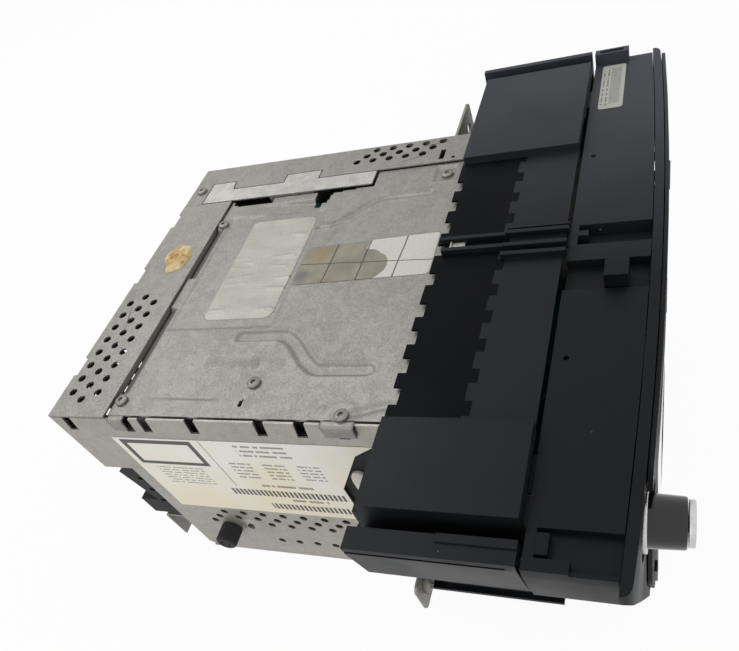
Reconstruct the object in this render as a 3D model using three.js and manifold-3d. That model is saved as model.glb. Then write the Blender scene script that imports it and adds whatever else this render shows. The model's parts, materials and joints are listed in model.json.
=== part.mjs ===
// Car navigation head unit: a steel chassis with a disc mechanism behind a wide plastic front.
// Lengths are in millimetres. X points right as seen from the front, the front faces -Y and Z
// points up. The origin lies under the chassis floor, midway between its two side walls.

import * as THREE from "three";
import { mergeVertices } from "three/addons/utils/BufferGeometryUtils.js";
import Module from "manifold-3d";

const wasm = await Module();
wasm.setup();

// Clearances and counts that many pieces share

const gap = 0.3;
const overrun = 6;
const turn = Math.PI * 2;
const roundSides = 20;
const knobSides = 32;
const ventSides = 8;
const arcSteps = 12;

// Driving dimensions

const chassis = {
  width: 180, height: 121.6, sheet: 1, front: -84, rearLow: 111, rearStep: 16.7, ledge: 80,
  rearChamfer: 5, standoffRadius: 4, standoffInset: 14,
};
const half = chassis.width / 2;
const rearHigh = chassis.rearLow + chassis.rearStep;
const wallTop = chassis.height - chassis.sheet - gap;
const innerHalf = half - chassis.sheet;

// Places measured inwards from the box's near side, its far side, its top and its rear
const nearIn = (distance) => distance - half;
const farIn = (distance) => half - distance;
const belowTop = (distance) => chassis.height - distance;
const fromRear = (distance) => rearHigh - distance;

const front = {
  seam: -119.9, bowRise: 4.1, halfWidth: 143.5, footOut: 2, plateThick: 3.6, proud: 1.9,
  bandHeight: 5, floor: 2, lean: 0.012, cornerRadius: 4.5, cornerDepthShare: 0.7,
};
const frontTop = chassis.height;
const bottomHalf = half + front.footOut;
const bowAt = (x) => front.bowRise * (x / front.halfWidth) ** 2;

// Insets from the ends of the front, as wide as its widest place
const endIn = { shroud: 5.5, shroudFar: 4, shroudWaist: 9, shroudLip: 15.5, nearPanel: 18.5,
  farPanel: 12.5, groove: 13.5, ledge: 10.5, frame: 4.2, frameWaist: 8, frameLip: 14.5,
  knob: 35.5, bezelEdge: 38, slotLeft: 63.5, slotRight: 95.5,
  boardEarLeft: 49.5, boardEarRight: 91.5, stickerLeft: 49.5, stickerRight: 10.5 };
const fromEnd = (distance) => front.halfWidth - distance;
const plateFront = front.seam - front.plateThick;
const bezelFront = plateFront - front.proud;
const edgeHalfAt = (z) => {
  const straightTop = frontTop - front.bandHeight;
  const share = Math.min(1, (z - front.floor) / (straightTop - front.floor));
  return bottomHalf + (front.halfWidth - bottomHalf) * share;
};

// Solids from three.js geometry

function solid(geometry) {
  const bare = geometry.index ? geometry.toNonIndexed() : geometry.clone();
  bare.deleteAttribute("normal");
  bare.deleteAttribute("uv");
  const merged = mergeVertices(bare, 1e-4);
  return new wasm.Manifold(new wasm.Mesh({
    numProp: 3,
    vertProperties: new Float32Array(merged.attributes.position.array),
    triVerts: new Uint32Array(merged.index.array),
  }));
}

function geometryOf(body) {
  const mesh = body.getMesh();
  const geometry = new THREE.BufferGeometry();
  geometry.setAttribute("position", new THREE.BufferAttribute(mesh.vertProperties, 3));
  geometry.setIndex(new THREE.BufferAttribute(mesh.triVerts, 1));
  geometry.computeVertexNormals();
  return geometry;
}

const join = (first, ...others) => others.reduce((body, other) => body.add(other), first);
const cut = (first, ...others) => others.reduce((body, other) => body.subtract(other), first);

function block(x0, x1, y0, y1, z0, z1) {
  const geometry = new THREE.BoxGeometry(x1 - x0, y1 - y0, z1 - z0);
  geometry.translate((x0 + x1) / 2, (y0 + y1) / 2, (z0 + z1) / 2);
  return solid(geometry);
}

// A prism: its outline lies across the named axis, and it runs from one place to another along it.
// The outline's two numbers are X and Y for the Z axis, X and Z for Y, and Y and Z for X.
function prism(axis, points, from, to) {
  const ring = points.map(([a, b]) => new THREE.Vector2(a, b));
  if (THREE.ShapeUtils.area(ring) < 0) ring.reverse();
  const geometry = new THREE.ExtrudeGeometry(new THREE.Shape(ring), {
    depth: to - from, bevelEnabled: false,
  });
  geometry.translate(0, 0, from);
  const place = new THREE.Matrix4();
  if (axis === "x") place.set(0, 0, 1, 0, 1, 0, 0, 0, 0, 1, 0, 0, 0, 0, 0, 1);
  if (axis === "y") place.set(1, 0, 0, 0, 0, 0, -1, 0, 0, 1, 0, 0, 0, 0, 0, 1);
  if (axis === "y") geometry.translate(0, 0, -from - to);
  geometry.applyMatrix4(place);
  return solid(geometry);
}

// A shape turned about an axis: its profile holds pairs of radius and place along the axis.
function turned(axis, centre, profile, sides = roundSides) {
  const points = profile.map(([radius, along]) => new THREE.Vector2(radius, along));
  if (THREE.ShapeUtils.area(points) < 0) points.reverse();
  points.push(points[0].clone());
  const geometry = new THREE.LatheGeometry(points, sides);
  const flat = geometry.toNonIndexed();
  if (axis === "z") flat.rotateX(turn / 4);
  if (axis === "x") flat.rotateZ(-turn / 4);
  const [a, b] = centre;
  if (axis === "z") flat.translate(a, b, 0);
  if (axis === "y") flat.translate(a, 0, b);
  if (axis === "x") flat.translate(0, a, b);
  const positions = flat.attributes.position.array;
  const kept = [];
  for (let i = 0; i < positions.length; i += 9) {
    const corners = [0, 3, 6].map((k) => new THREE.Vector3().fromArray(positions, i + k));
    const span = (p, q) => corners[p].distanceTo(corners[q]);
    if (Math.min(span(0, 1), span(1, 2), span(2, 0)) > 1e-4) kept.push(...positions.slice(i, i + 9));
  }
  const clean = new THREE.BufferGeometry();
  clean.setAttribute("position", new THREE.Float32BufferAttribute(kept, 3));
  return solid(clean);
}

function rod(axis, centre, radius, from, to, sides = roundSides) {
  return turned(axis, centre, [[0, from], [radius, from], [radius, to], [0, to]], sides);
}

function tube(axis, centre, bore, radius, from, to, sides = roundSides) {
  return turned(axis, centre, [[bore, from], [radius, from], [radius, to], [bore, to]], sides);
}

// Outlines

const boxed = (a0, a1, b0, b1) => [[a0, b0], [a1, b0], [a1, b1], [a0, b1]];

function rounded(a0, a1, b0, b1, radius, steps = 4) {
  const corners = [[a1 - radius, b1 - radius, 0], [a0 + radius, b1 - radius, 1],
    [a0 + radius, b0 + radius, 2], [a1 - radius, b0 + radius, 3]];
  return corners.flatMap(([a, b, quarter]) => Array.from({ length: steps + 1 }, (unused, i) => {
    const angle = (quarter + i / steps) * turn / 4;
    return [a + radius * Math.cos(angle), b + radius * Math.sin(angle)];
  }));
}

// A band of even width that follows a path of points, with square ends
function band(path, width) {
  const left = [];
  const right = [];
  path.forEach((point, i) => {
    const before = path[Math.max(0, i - 1)];
    const after = path[Math.min(path.length - 1, i + 1)];
    const length = Math.hypot(after[0] - before[0], after[1] - before[1]);
    const across = [(before[1] - after[1]) / length, (after[0] - before[0]) / length];
    left.push([point[0] + across[0] * width / 2, point[1] + across[1] * width / 2]);
    right.push([point[0] - across[0] * width / 2, point[1] - across[1] * width / 2]);
  });
  return [...left, ...right.reverse()];
}

// An outline moved inwards by an even distance, or outwards where the distance is negative
function inset(points, by) {
  const ring = points.map(([a, b]) => new THREE.Vector2(a, b));
  const sense = Math.sign(THREE.ShapeUtils.area(ring));
  const inward = ring.map((point, i) => {
    const edge = ring[(i + 1) % ring.length].clone().sub(point).normalize();
    return new THREE.Vector2(-edge.y * sense, edge.x * sense);
  });
  return ring.map((point, i) => {
    const before = inward[(i + ring.length - 1) % ring.length];
    const along = before.clone().add(inward[i]).multiplyScalar(by / (1 + before.dot(inward[i])));
    return [point.x + along.x, point.y + along.y];
  });
}

// An outline whose corners are rounded off
function softened(points, radius, steps = 3) {
  const ring = points.map(([a, b]) => new THREE.Vector2(a, b));
  return ring.flatMap((point, i) => {
    const before = ring[(i + ring.length - 1) % ring.length];
    const after = ring[(i + 1) % ring.length];
    const from = point.clone().lerp(before, Math.min(1 / 2, radius / point.distanceTo(before)));
    const to = point.clone().lerp(after, Math.min(1 / 2, radius / point.distanceTo(after)));
    const curve = new THREE.QuadraticBezierCurve(from, point, to);
    return curve.getPoints(steps).map((place) => [place.x, place.y]);
  });
}

// Finishes

const finish = (colour, roughness, metalness) =>
  new THREE.MeshStandardMaterial({ color: colour, roughness, metalness });
const galvanised = finish(0xa8a69e, 0.5, 0.8);
const brightSteel = finish(0xb9b8b2, 0.35, 0.9);
const blackPlastic = finish(0x1d1f22, 0.55, 0);
const glossBlack = finish(0x0c0c0e, 0.12, 0);
const silver = finish(0xc9cacc, 0.25, 0.9);
const circuitGreen = finish(0x12463a, 0.5, 0);
const rubberBlack = finish(0x18181a, 0.85, 0);
const paper = finish(0xe6e1d2, 0.8, 0);
const foil = finish(0xb9b7b0, 0.3, 0.8);
const aluminium = finish(0x9c9d9f, 0.4, 0.9);
const whitePlastic = finish(0xd8d5c8, 0.5, 0);
const darkGlass = finish(0x0a0c10, 0.05, 0);
const sealantAmber = finish(0xb8772a, 0.35, 0);
const feltBlack = finish(0x131315, 0.95, 0);

const headUnit = new THREE.Group();
headUnit.name = "car_navigation_head_unit";

function add(name, body, material) {
  const mesh = new THREE.Mesh(geometryOf(body), material);
  mesh.name = name;
  headUnit.add(mesh);
}

// Side wall features

const vent = { radius: 2.1, rowStep: 5.12, pitch: 11.4, stagger: 5.62, count: 7, firstY: 79.32,
  firstZ: 42.57, rows: 3, lowZ: 15.4, lowFirstY: 58.5, lowPitch: 10.4, lowCount: 4 };
const guide = { y: 83.5, z: 26, radius: 5.5, length: 10, neck: 3, washer: 1.2 };
const cutoutShares = { top: 0.8894, foot: 0.2494, lip: 0.2993, step: 0.4156, brace: 0.6151,
  shoulder: 0.8313 };
const cutout = { rear: 9, front: -60, brow: -15, knee: -25, top: cutoutShares.top * wallTop,
  foot: cutoutShares.foot * wallTop, lip: cutoutShares.lip * wallTop,
  step: cutoutShares.step * wallTop, brace: cutoutShares.brace * wallTop,
  shoulder: cutoutShares.shoulder * wallTop };
const tabNotch = { depth: 9, width: 4.6, chamfer: 3 };
const tabNotchShares = [0.94, 0.785, 0.74, 0.625, 0.47, 0.385, 0.3, 0.06];

function sideVents(x0, x1) {
  const holes = [];
  for (let row = 0; row < vent.rows; row += 1) {
    for (let i = 0; i < vent.count; i += 1) {
      const y = vent.firstY + row * vent.stagger - i * vent.pitch;
      const z = vent.firstZ - row * vent.rowStep;
      const apart = Math.hypot(y - guide.y, z - guide.z);
      if (apart > guide.radius + vent.radius + gap) holes.push([y, z]);
    }
  }
  for (let i = 0; i < vent.lowCount; i += 1) {
    holes.push([vent.lowFirstY - i * vent.lowPitch, vent.lowZ]);
  }
  return holes.map(([y, z]) => rod("x", [y, z], vent.radius, x0, x1, ventSides));
}

const sideProfile = [
  [chassis.front, 0], [chassis.rearLow - chassis.rearChamfer, 0],
  [chassis.rearLow, chassis.rearChamfer], [chassis.rearLow, chassis.ledge],
  [rearHigh, chassis.ledge], [rearHigh, wallTop], [chassis.front, wallTop],
];
const cutoutOutline = [
  [cutout.front, cutout.foot], [cutout.rear, cutout.foot], [cutout.rear, cutout.lip],
  [0, cutout.step], [0, cutout.brace], [cutout.brow, cutout.shoulder],
  [cutout.knee, cutout.top], [cutout.front, cutout.top],
];

// Boards stand on pressed posts
const boardRearGap = 7;
const board = { z: 10, thick: 1.6, edgeGap: 5, front: -78, rear: chassis.rearLow - boardRearGap };
const boardHalf = innerHalf - board.edgeGap;
const postSpots = [-1, 1].flatMap((side) => [
  [side * (boardHalf - chassis.standoffInset), board.front + chassis.standoffInset],
  [side * (boardHalf - chassis.standoffInset), board.rear - chassis.standoffInset],
]);

const louvre = { y: 68, z: 29, radius: 7.5, rise: 2.2 };

// The wall's top edge dips where the mechanism cover's two tabs bridge over it
const rearIn = { strip: 31.7, bridge: 33.2, bridgeLength: 8, plate: 11.2, tab: 26.7, tabEnd: 59.7,
  firstVent: 6.13, windowRear: 33.7, windowMid: 37.7, windowLow: 58.7, nearRamp: 43.7, farRamp: 49.7,
  panel: 38.7, channel: 34.6, deck: 37.7, servo: 29.7, rod: 43.7, sideLabel: 25 };
const bridge = { frontFrom: -22, frontTo: -8, rearFrom: fromRear(rearIn.bridge + rearIn.bridgeLength),
  rearTo: fromRear(rearIn.bridge), dip: 1.6, lipDrop: 7 };
const bridgeSpans = [[bridge.frontFrom, bridge.frontTo], [bridge.rearFrom, bridge.rearTo]];

{
  const floorPlate = block(-half, half, chassis.front, chassis.rearLow - gap - chassis.sheet,
    0, chassis.sheet);
  const nearWall = prism("x", sideProfile, -half, -innerHalf);
  const farWall = prism("x", sideProfile, innerHalf, half);
  const posts = postSpots.map(([x, y]) =>
    rod("z", [x, y], chassis.standoffRadius, 0, board.z - gap, ventSides));
  const notches = tabNotchShares.map((share) => {
    const y = chassis.front + (rearHigh - chassis.front) * share;
    return prism("x", [[y, wallTop + overrun], [y + tabNotch.chamfer, wallTop - tabNotch.depth],
      [y + tabNotch.chamfer + tabNotch.width, wallTop - tabNotch.depth],
      [y + tabNotch.width, wallTop + overrun]], -half - overrun, -innerHalf + overrun);
  });
  const bump = turned("x", [louvre.y, louvre.z], [[0, -half - louvre.rise], [louvre.radius / 2,
    -half - louvre.rise], [louvre.radius, -half], [louvre.radius, -innerHalf], [0, -innerHalf]]);
  const upperHalf = block(-half - overrun, half, chassis.front, rearHigh, louvre.z,
    chassis.height);
  const guideHole = rod("x", [guide.y, guide.z], guide.neck + gap, -half - overrun, half);
  let tray = join(floorPlate, nearWall, farWall, ...posts, bump.intersect(upperHalf));
  tray = cut(tray, ...notches, ...sideVents(-half - overrun, -innerHalf + overrun),
    prism("x", cutoutOutline, -half - overrun, -innerHalf + overrun),
    guideHole.intersect(block(-half - overrun, 0, 0, rearHigh, 0, chassis.height)),
    ...bridgeSpans.map(([from, to]) => block(-half - overrun, -innerHalf + overrun, from - gap,
      to + gap, wallTop - bridge.dip, wallTop + overrun)));
  add("chassis_tray", tray, galvanised);
}

// Stepped rear wall

const fitting = { nearGap: 4, farGap: 6, connectorWidth: 46, latchWidth: 20, bracketWidth: 56,
  sinkWidth: 82, aerialIn: 60, slotIn: 20 };
const connector = { left: nearIn(fitting.nearGap),
  right: nearIn(fitting.nearGap + fitting.connectorWidth), bottom: 26, top: 75, shoulder: 69,
  depth: 12.7, crestProud: 6, wall: 2.2, grooveShares: [0.3, 0.52, 0.74] };
const connectorBack = chassis.rearLow + gap + connector.depth;
const latch = { left: connector.left, right: connector.left + fitting.latchWidth, bottom: 28, top: 42,
  proud: 11.3 };
const aerial = { x: farIn(fitting.aerialIn), z: (chassis.ledge + wallTop) / 2, radius: 6.5,
  bore: 4.4, pin: 1.1, length: 6.5 };
const sink = { left: farIn(fitting.farGap + fitting.sinkWidth), right: farIn(fitting.farGap),
  bottom: 6, top: 76, base: 3.4, depth: 14, fins: 9, finThick: 1.8 };
const rearSlot = { start: nearIn(fitting.slotIn), pitch: 8, count: 5 };

{
  const thick = chassis.sheet;
  const outline = [
    [chassis.rearLow - thick, thick + gap], [chassis.rearLow, thick + gap],
    [chassis.rearLow, chassis.ledge], [rearHigh, chassis.ledge],
    [rearHigh, wallTop], [rearHigh - thick, wallTop],
    [rearHigh - thick, chassis.ledge + thick], [chassis.rearLow - thick, chassis.ledge + thick],
  ];
  const wall = prism("x", outline, -innerHalf + gap, innerHalf - gap);
  const connectorHole = block(connector.left + connector.wall, connector.right - connector.wall,
    0, rearHigh, connector.bottom + connector.wall, connector.shoulder - connector.wall);
  const aerialHole = rod("y", [aerial.x, aerial.z], aerial.bore, chassis.rearLow,
    rearHigh + overrun);
  const { pitch, count, start } = rearSlot;
  const slots = Array.from({ length: count }, (unused, i) => {
    const x = start + i * pitch;
    return block(x, x + pitch / 2, chassis.rearLow + overrun, rearHigh + overrun,
      chassis.ledge + pitch, wallTop - pitch);
  });
  add("rear_wall", cut(wall, connectorHole, aerialHole, ...slots), galvanised);
}

{
  const { left, right, bottom, top, shoulder, crestProud, wall } = connector;
  const back = connectorBack;
  const crest = back + crestProud;
  const base = chassis.rearLow + gap;
  const shell = prism("x", [[base, bottom], [back, bottom], [back, latch.top],
    [crest, shoulder], [back - wall, top], [base, top]], left, right);
  const mouth = block(left + wall, right - wall, base + wall, crest + overrun,
    bottom + wall, shoulder - wall);
  const middle = (left + right) / 2;
  const rib = block(middle - wall / 2, middle + wall / 2, base + wall / 2, back - wall,
    bottom, shoulder);
  const latchBack = back + latch.proud;
  const latchTab = block(latch.left, latch.right, back - wall, latchBack, latch.bottom, latch.top);
  const latchHollow = block(latch.left + wall, latch.right - wall, back - wall * 2,
    latchBack + overrun, latch.bottom + wall, latch.top - wall);
  const grooves = connector.grooveShares.map((share) => {
    const z = bottom + (top - bottom) * share;
    return block(left - overrun, left + wall / 3, base + wall, back - wall, z, z + wall);
  });
  add("rear_connector", cut(join(cut(shell, mouth), rib, latchTab), latchHollow, ...grooves),
    blackPlastic);
}

const bracket = { left: connector.left, right: connector.left + fitting.bracketWidth, top: 25,
  bottom: 3, depth: 19.7, sheet: 1.2 };
{
  const base = chassis.rearLow + gap;
  const { left, right, top, bottom, depth, sheet } = bracket;
  const back = base + depth;
  const outline = [[base, top], [back - sheet, top], [back, top - sheet], [back, bottom],
    [back - sheet, bottom], [back - sheet, top - sheet], [base + sheet, top - sheet],
    [base + sheet, bottom], [base, bottom]];
  const window = block(left + overrun, (left + right) / 2, base + overrun / 2, back + overrun,
    bottom + overrun, top - overrun);
  add("rear_bracket", cut(prism("x", outline, left, right), window), galvanised);
}

{
  const base = chassis.rearLow + gap;
  const { left, right, bottom, top, depth, fins, finThick } = sink;
  const pitch = (right - left - finThick) / (fins - 1);
  const outline = [[left, base], [right, base]];
  for (let i = fins - 1; i >= 0; i -= 1) {
    const x = left + i * pitch;
    outline.push([x + finThick, base + depth], [x, base + depth]);
    if (i > 0) outline.push([x, base + sink.base], [x - pitch + finThick, base + sink.base]);
  }
  add("heat_sink", prism("z", outline, bottom, top), aluminium);
}

{
  const from = rearHigh + gap;
  const { x, z, radius, bore, pin, length } = aerial;
  const flange = radius + 2 * pin;
  const shell = turned("y", [x, z], [[0, from], [flange, from], [flange, from + pin],
    [radius, from + pin], [radius, from + length], [bore, from + length], [bore, from + 2 * pin],
    [0, from + 2 * pin]]);
  const contact = rod("y", [x, z], pin, from + pin, from + length - pin, ventSides);
  add("aerial_socket", join(shell, contact), silver);
}

const amplifier = { thick: 4.5, height: 18, placeShares: [0.3, 0.75] };
{
  const { left, right } = sink;
  const { thick, height, placeShares } = amplifier;
  const [x0, x1] = placeShares.map((share) => left + (right - left) * share);
  const back = chassis.rearLow - chassis.sheet - gap;
  const foot = board.z + board.thick + gap;
  add("amplifier_chip", block(x0, x1, back - thick, back, foot, foot + height), blackPlastic);
}

// Top sheets

const sheetTop = chassis.height;
const sheetLow = chassis.height - chassis.sheet;
const topIn = { plate: 33, inner: 14.4, narrow: 21.4, sideVent: 3.22, notchLeft: 19, notchRight: 11,
  hole: 18.5, rearVent: 69.56 };
const rearStrip = { inner: fromRear(rearIn.strip), right: farIn(topIn.plate), step: 1.8, stepWidth: 11,
  ventX: nearIn(topIn.rearVent), ventPitch: 8.03, ventY: fromRear(rearIn.firstVent), ventColumn: 7.29,
  ventStagger: 4.15, count: 8 };
const rearStepShares = [-0.68, 0, 0.49];
const sideStrip = { inner: farIn(topIn.inner), narrow: farIn(topIn.narrow), front: -74,
  ventX: farIn(topIn.sideVent), ventRow: 4.43, ventY: 17.78, ventPitch: 9.12, ventStagger: 4.56,
  count: 5, notchLeft: farIn(topIn.notchLeft), notchRight: farIn(topIn.notchRight),
  notchFront: -22, notchRear: -19.5, holeX: farIn(topIn.hole), holeY: -27 };
const sidePlate = { left: farIn(topIn.plate), front: 12, rear: fromRear(rearIn.plate),
  tab1: fromRear(rearIn.tab), tab1End: fromRear(rearIn.tabEnd), tab2: 46, slope: 1.5,
  flangeRear: 73, flangeFront: 46, flangeDeep: 8, flangeShallow: 4 };
const plateBay = [[sidePlate.left, sidePlate.rear], [sideStrip.inner, sidePlate.rear],
  [sideStrip.inner, sidePlate.tab1], [sideStrip.narrow, sidePlate.tab1 - sidePlate.slope],
  [sideStrip.narrow, sidePlate.tab1End], [sideStrip.inner, sidePlate.tab1End],
  [sideStrip.inner, sidePlate.tab2], [sideStrip.narrow, sidePlate.tab2],
  [sideStrip.narrow, sidePlate.front], [sidePlate.left, sidePlate.front]];

{
  const { inner, right, step, stepWidth } = rearStrip;
  const strip = block(-half, right - gap, inner, rearHigh, sheetLow, sheetTop);
  const hem = block(-innerHalf + overrun, right - overrun, inner, inner + chassis.sheet,
    sheetLow - 2 * chassis.sheet, sheetTop);
  const steps = rearStepShares.map((share) => block(share * half - stepWidth / 2,
    share * half + stepWidth / 2, rearHigh - step, rearHigh + overrun,
    sheetLow - overrun, sheetTop + overrun));
  const holes = [0, 1, 2].flatMap((column) => {
    const middle = column === 1;
    return Array.from({ length: rearStrip.count + (middle ? 1 : 0) }, (unused, i) => {
      const x = rearStrip.ventX + (middle ? rearStrip.ventStagger : 0) - i * rearStrip.ventPitch;
      const y = rearStrip.ventY - column * rearStrip.ventColumn;
      return rod("z", [x, y], vent.radius, sheetLow - overrun, sheetTop + overrun, ventSides);
    });
  });
  add("rear_top_strip", cut(join(strip, hem), ...steps, ...holes), galvanised);
}

{
  const { narrow, front: end } = sideStrip;
  const outline = [[half, end], [half, rearHigh], [sidePlate.left, rearHigh],
    [sidePlate.left, sidePlate.front], [narrow, sidePlate.front], [narrow, end]];
  const bay = prism("z", plateBay, sheetLow - overrun, sheetTop + overrun);
  const { notchLeft, notchRight, notchFront, notchRear, holeX, holeY } = sideStrip;
  const notch = block(notchLeft, notchRight, notchFront, notchRear, sheetLow - overrun,
    sheetTop + overrun);
  const tabHole = rod("z", [holeX, holeY], vent.radius / 2, sheetLow - overrun, sheetTop + overrun,
    ventSides);
  const holes = [0, 1, 2].flatMap((row) => Array.from({ length: sideStrip.count }, (unused, i) => {
    const x = sideStrip.ventX - row * sideStrip.ventRow;
    const y = sideStrip.ventY + row * sideStrip.ventStagger - i * sideStrip.ventPitch;
    return rod("z", [x, y], vent.radius, sheetLow - overrun, sheetTop + overrun, ventSides);
  }));
  add("side_top_strip", cut(prism("z", outline, sheetLow, sheetTop), bay, notch, tabHole, ...holes),
    galvanised);
}

{
  const { left, flangeRear, flangeFront, flangeDeep, flangeShallow } = sidePlate;
  const outline = inset(plateBay, 2 * gap);
  const top = prism("z", outline, sheetLow, sheetTop);
  const edge = left + 2 * gap;
  const down = prism("x", [[flangeFront, sheetTop], [flangeRear, sheetTop],
    [flangeRear, sheetTop - flangeShallow], [flangeFront, sheetTop - flangeDeep]], edge,
  edge + chassis.sheet);
  add("mechanism_side_plate", join(top, down), brightSteel);
}

// Disc mechanism

const cover = { edgeGap: 1, right: sidePlate.left - 2 * gap, wide: sideStrip.narrow - 2 * gap,
  wideFrom: sidePlate.front - 2 * gap, front: -75, rear: rearStrip.inner - 2 * gap, drop: 1.2,
  sheet: 1, corner: 3, slotIn: 5.6, slotWidth: 3.8, slotFront: 29.8, slotRear: 31.6 };
const coverLeft = -innerHalf + cover.edgeGap;
const slitLeft = coverLeft + cover.slotIn;
const coverTop = sheetTop - cover.drop;
const coverLow = coverTop - cover.sheet;
const bead = { width: 6.6, farWidth: 4.6, depth: 0.9, nearFromLeft: 43.8, nearStart: 46,
  nearEnd: -20, sway: 19.3, bendStart: 26, bendEnd: 1, farFromRight: 28, farSway: 17.5,
  farStart: 33, farEnd: -20, farBendStart: 29, farBendEnd: 2 };
const windowIn = { rear: 4, front: 9.4, frontStep: 1.8 };
const gapRear = { inner: cover.right - windowIn.rear, rear: fromRear(rearIn.windowRear),
  mid: fromRear(rearIn.windowMid), low: fromRear(rearIn.windowLow) };
const gapFront = { inner: cover.right - windowIn.front, rear: 43, mid: 35,
  right: cover.right - windowIn.frontStep, front: 18 };

function swayPath(x, start, bendStart, bendEnd, end, sway) {
  const bend = Array.from({ length: arcSteps + 1 }, (unused, i) => {
    const share = i / arcSteps;
    const eased = share * share * (3 - 2 * share);
    return [x + sway * eased, bendStart + (bendEnd - bendStart) * share];
  });
  return [[x, start], ...bend, [x + sway, end]];
}

function pressedIn(outline, depth) {
  return {
    wall: prism("z", inset(outline, -cover.sheet), coverLow - depth, coverTop),
    hollow: prism("z", outline, coverTop - depth, coverTop + overrun),
  };
}

function pressedBead(path, width, depth) {
  return {
    wall: prism("z", band(path, width + cover.sheet * 2), coverLow - depth, coverTop),
    hollow: prism("z", band(path, width), coverTop - depth, coverTop + overrun),
  };
}

// A pressed ramp: flush with the sheet at its rear end and deepest at its front end
function rampDown(pan) {
  const { left, right, front: end, rear, depth } = pan;
  const { sheet } = cover;
  return {
    wall: prism("x", [[rear + sheet, coverTop], [end - sheet, coverTop],
      [end - sheet, coverLow - depth], [rear + sheet, coverLow]], left - sheet, right + sheet),
    hollow: prism("x", [[rear, coverTop + overrun], [rear, coverTop], [end, coverTop - depth],
      [end, coverTop + overrun]], left, right),
  };
}

const troughIn = { near: 10, nearWidth: 18, far: 14, farWidth: 8.6, panelLeft: 50, panelRight: 15.4,
  square: 13.5, squareWidth: 11 };
const troughs = {
  near: { left: coverLeft + troughIn.near, right: coverLeft + troughIn.near + troughIn.nearWidth,
    front: 32, rear: fromRear(rearIn.nearRamp), depth: 2.6 },
  far: { left: cover.right - troughIn.far, right: cover.right - troughIn.far + troughIn.farWidth,
    front: 38, rear: fromRear(rearIn.farRamp), depth: 2.6 },
  panel: { left: coverLeft + troughIn.panelLeft, right: cover.right - troughIn.panelRight,
    front: 33.8, rear: fromRear(rearIn.panel), depth: 0.7, corner: 4, chamfer: 12 },
  square: { left: cover.wide - troughIn.square,
    right: cover.wide - troughIn.square + troughIn.squareWidth, front: -30.5, rear: -20, depth: 0.7,
    corner: 1.5 },
  channelY: fromRear(rearIn.channel), channelWidth: 2.2, channelShares: [[-0.84, -0.3], [0, 0.36]],
};
const screw = { radius: 2.9, crown: 2.3, head: 1.6, socket: 1.2, socketDepth: 0.9 };

{
  const { right, wide, wideFrom, front: end, rear, corner } = cover;
  const outline = softened([[coverLeft, end], [wide, end], [wide, wideFrom], [right, wideFrom],
    [right, rear], [coverLeft, rear]], corner);
  const rearWindow = [[gapRear.inner, gapRear.low], [right + overrun, gapRear.low],
    [right + overrun, gapRear.rear], [gapRear.inner + corner / 2, gapRear.rear],
    [gapRear.inner, gapRear.mid]];
  const frontWindow = [[gapFront.inner, gapFront.rear], [gapFront.inner, gapFront.mid],
    [gapFront.right, gapFront.mid - corner / 2], [right, gapFront.front],
    [right + overrun, gapFront.front], [right + overrun, gapFront.rear]];
  const plate = cut(prism("z", outline, coverLow, coverTop),
    ...[rearWindow, frontWindow].map((points) => prism("z", points, coverLow - overrun,
      coverTop + overrun)));
  const { near, far, panel, square } = troughs;
  const panelOutline = softened([[panel.left, panel.front], [panel.right, panel.front],
    [panel.right, panel.rear - panel.chamfer], [panel.right - panel.chamfer, panel.rear],
    [panel.left, panel.rear]], panel.corner);
  const pressings = [
    ...[near, far].map((pan) => rampDown(pan)),
    pressedIn(rounded(square.left, square.right, square.front, square.rear, square.corner),
      square.depth),
    pressedIn(panelOutline, panel.depth),
    pressedBead(swayPath(coverLeft + bead.nearFromLeft, bead.nearStart, bead.bendStart,
      bead.bendEnd, bead.nearEnd, -bead.sway), bead.width, bead.depth),
    pressedBead(swayPath(right - bead.farFromRight, bead.farStart, bead.farBendStart,
      bead.farBendEnd, bead.farEnd, bead.farSway), bead.farWidth, bead.depth),
    ...troughs.channelShares.map(([a, b]) => pressedBead([[a * half, troughs.channelY],
      [b * half, troughs.channelY]], troughs.channelWidth, bead.depth)),
  ];
  const slit = block(slitLeft, slitLeft + cover.slotWidth, cover.slotFront, cover.slotRear,
    coverLow - overrun, coverTop + overrun);
  const outside = -half - gap;
  const bridges = bridgeSpans.map(([from, to]) => join(
    block(outside - cover.sheet, coverLeft + corner, from, to, coverLow, coverTop),
    block(outside - cover.sheet, outside, from, to, coverTop - bridge.lipDrop, coverTop),
  ));
  let body = join(plate, ...bridges, ...pressings.map((pressing) => pressing.wall));
  body = cut(body, ...pressings.map((pressing) => pressing.hollow), slit);
  add("mechanism_cover", body, galvanised);
}

const deckFit = { side: 5, edge: 1, below: 33.4, servoIn: 12.4, servoOut: 0.7, discShift: 1.7,
  discRise: 20, rollerRise: 13.4 };
const deck = { left: -innerHalf + deckFit.side, right: cover.right - deckFit.edge, front: -70,
  rear: fromRear(rearIn.deck), floor: coverLow - deckFit.below, sheet: 1.2, earFront: 20 };
const servo = { left: cover.right - deckFit.servoIn, right: cover.right + deckFit.servoOut,
  front: 16, rear: fromRear(rearIn.servo), drop: 8.5 };
const servoLow = sheetLow - servo.drop;
const disc = { x: (deck.left + deck.right) / 2 - deckFit.discShift, y: 15,
  z: deck.floor + deckFit.discRise };
const deckTop = deck.floor + deck.sheet;
const roller = { y: -58, z: deck.floor + deckFit.rollerRise, radius: 4.2, shaft: 1.6, overhang: 4 };
const motor = { radius: 12.5, length: 11, boss: 3, hub: 14, hubHeight: 3.4, cone: 7.4 };
const sled = { y: 47, depth: 20, height: 8, travel: 24, lensRadius: 4 };
const guideRod = { radius: 1.5, offset: 21, from: 34, to: fromRear(rearIn.rod), post: 3 };
const leadScrew = { offset: 28.5, radius: 2, root: 1.3, ridges: 8 };

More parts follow.
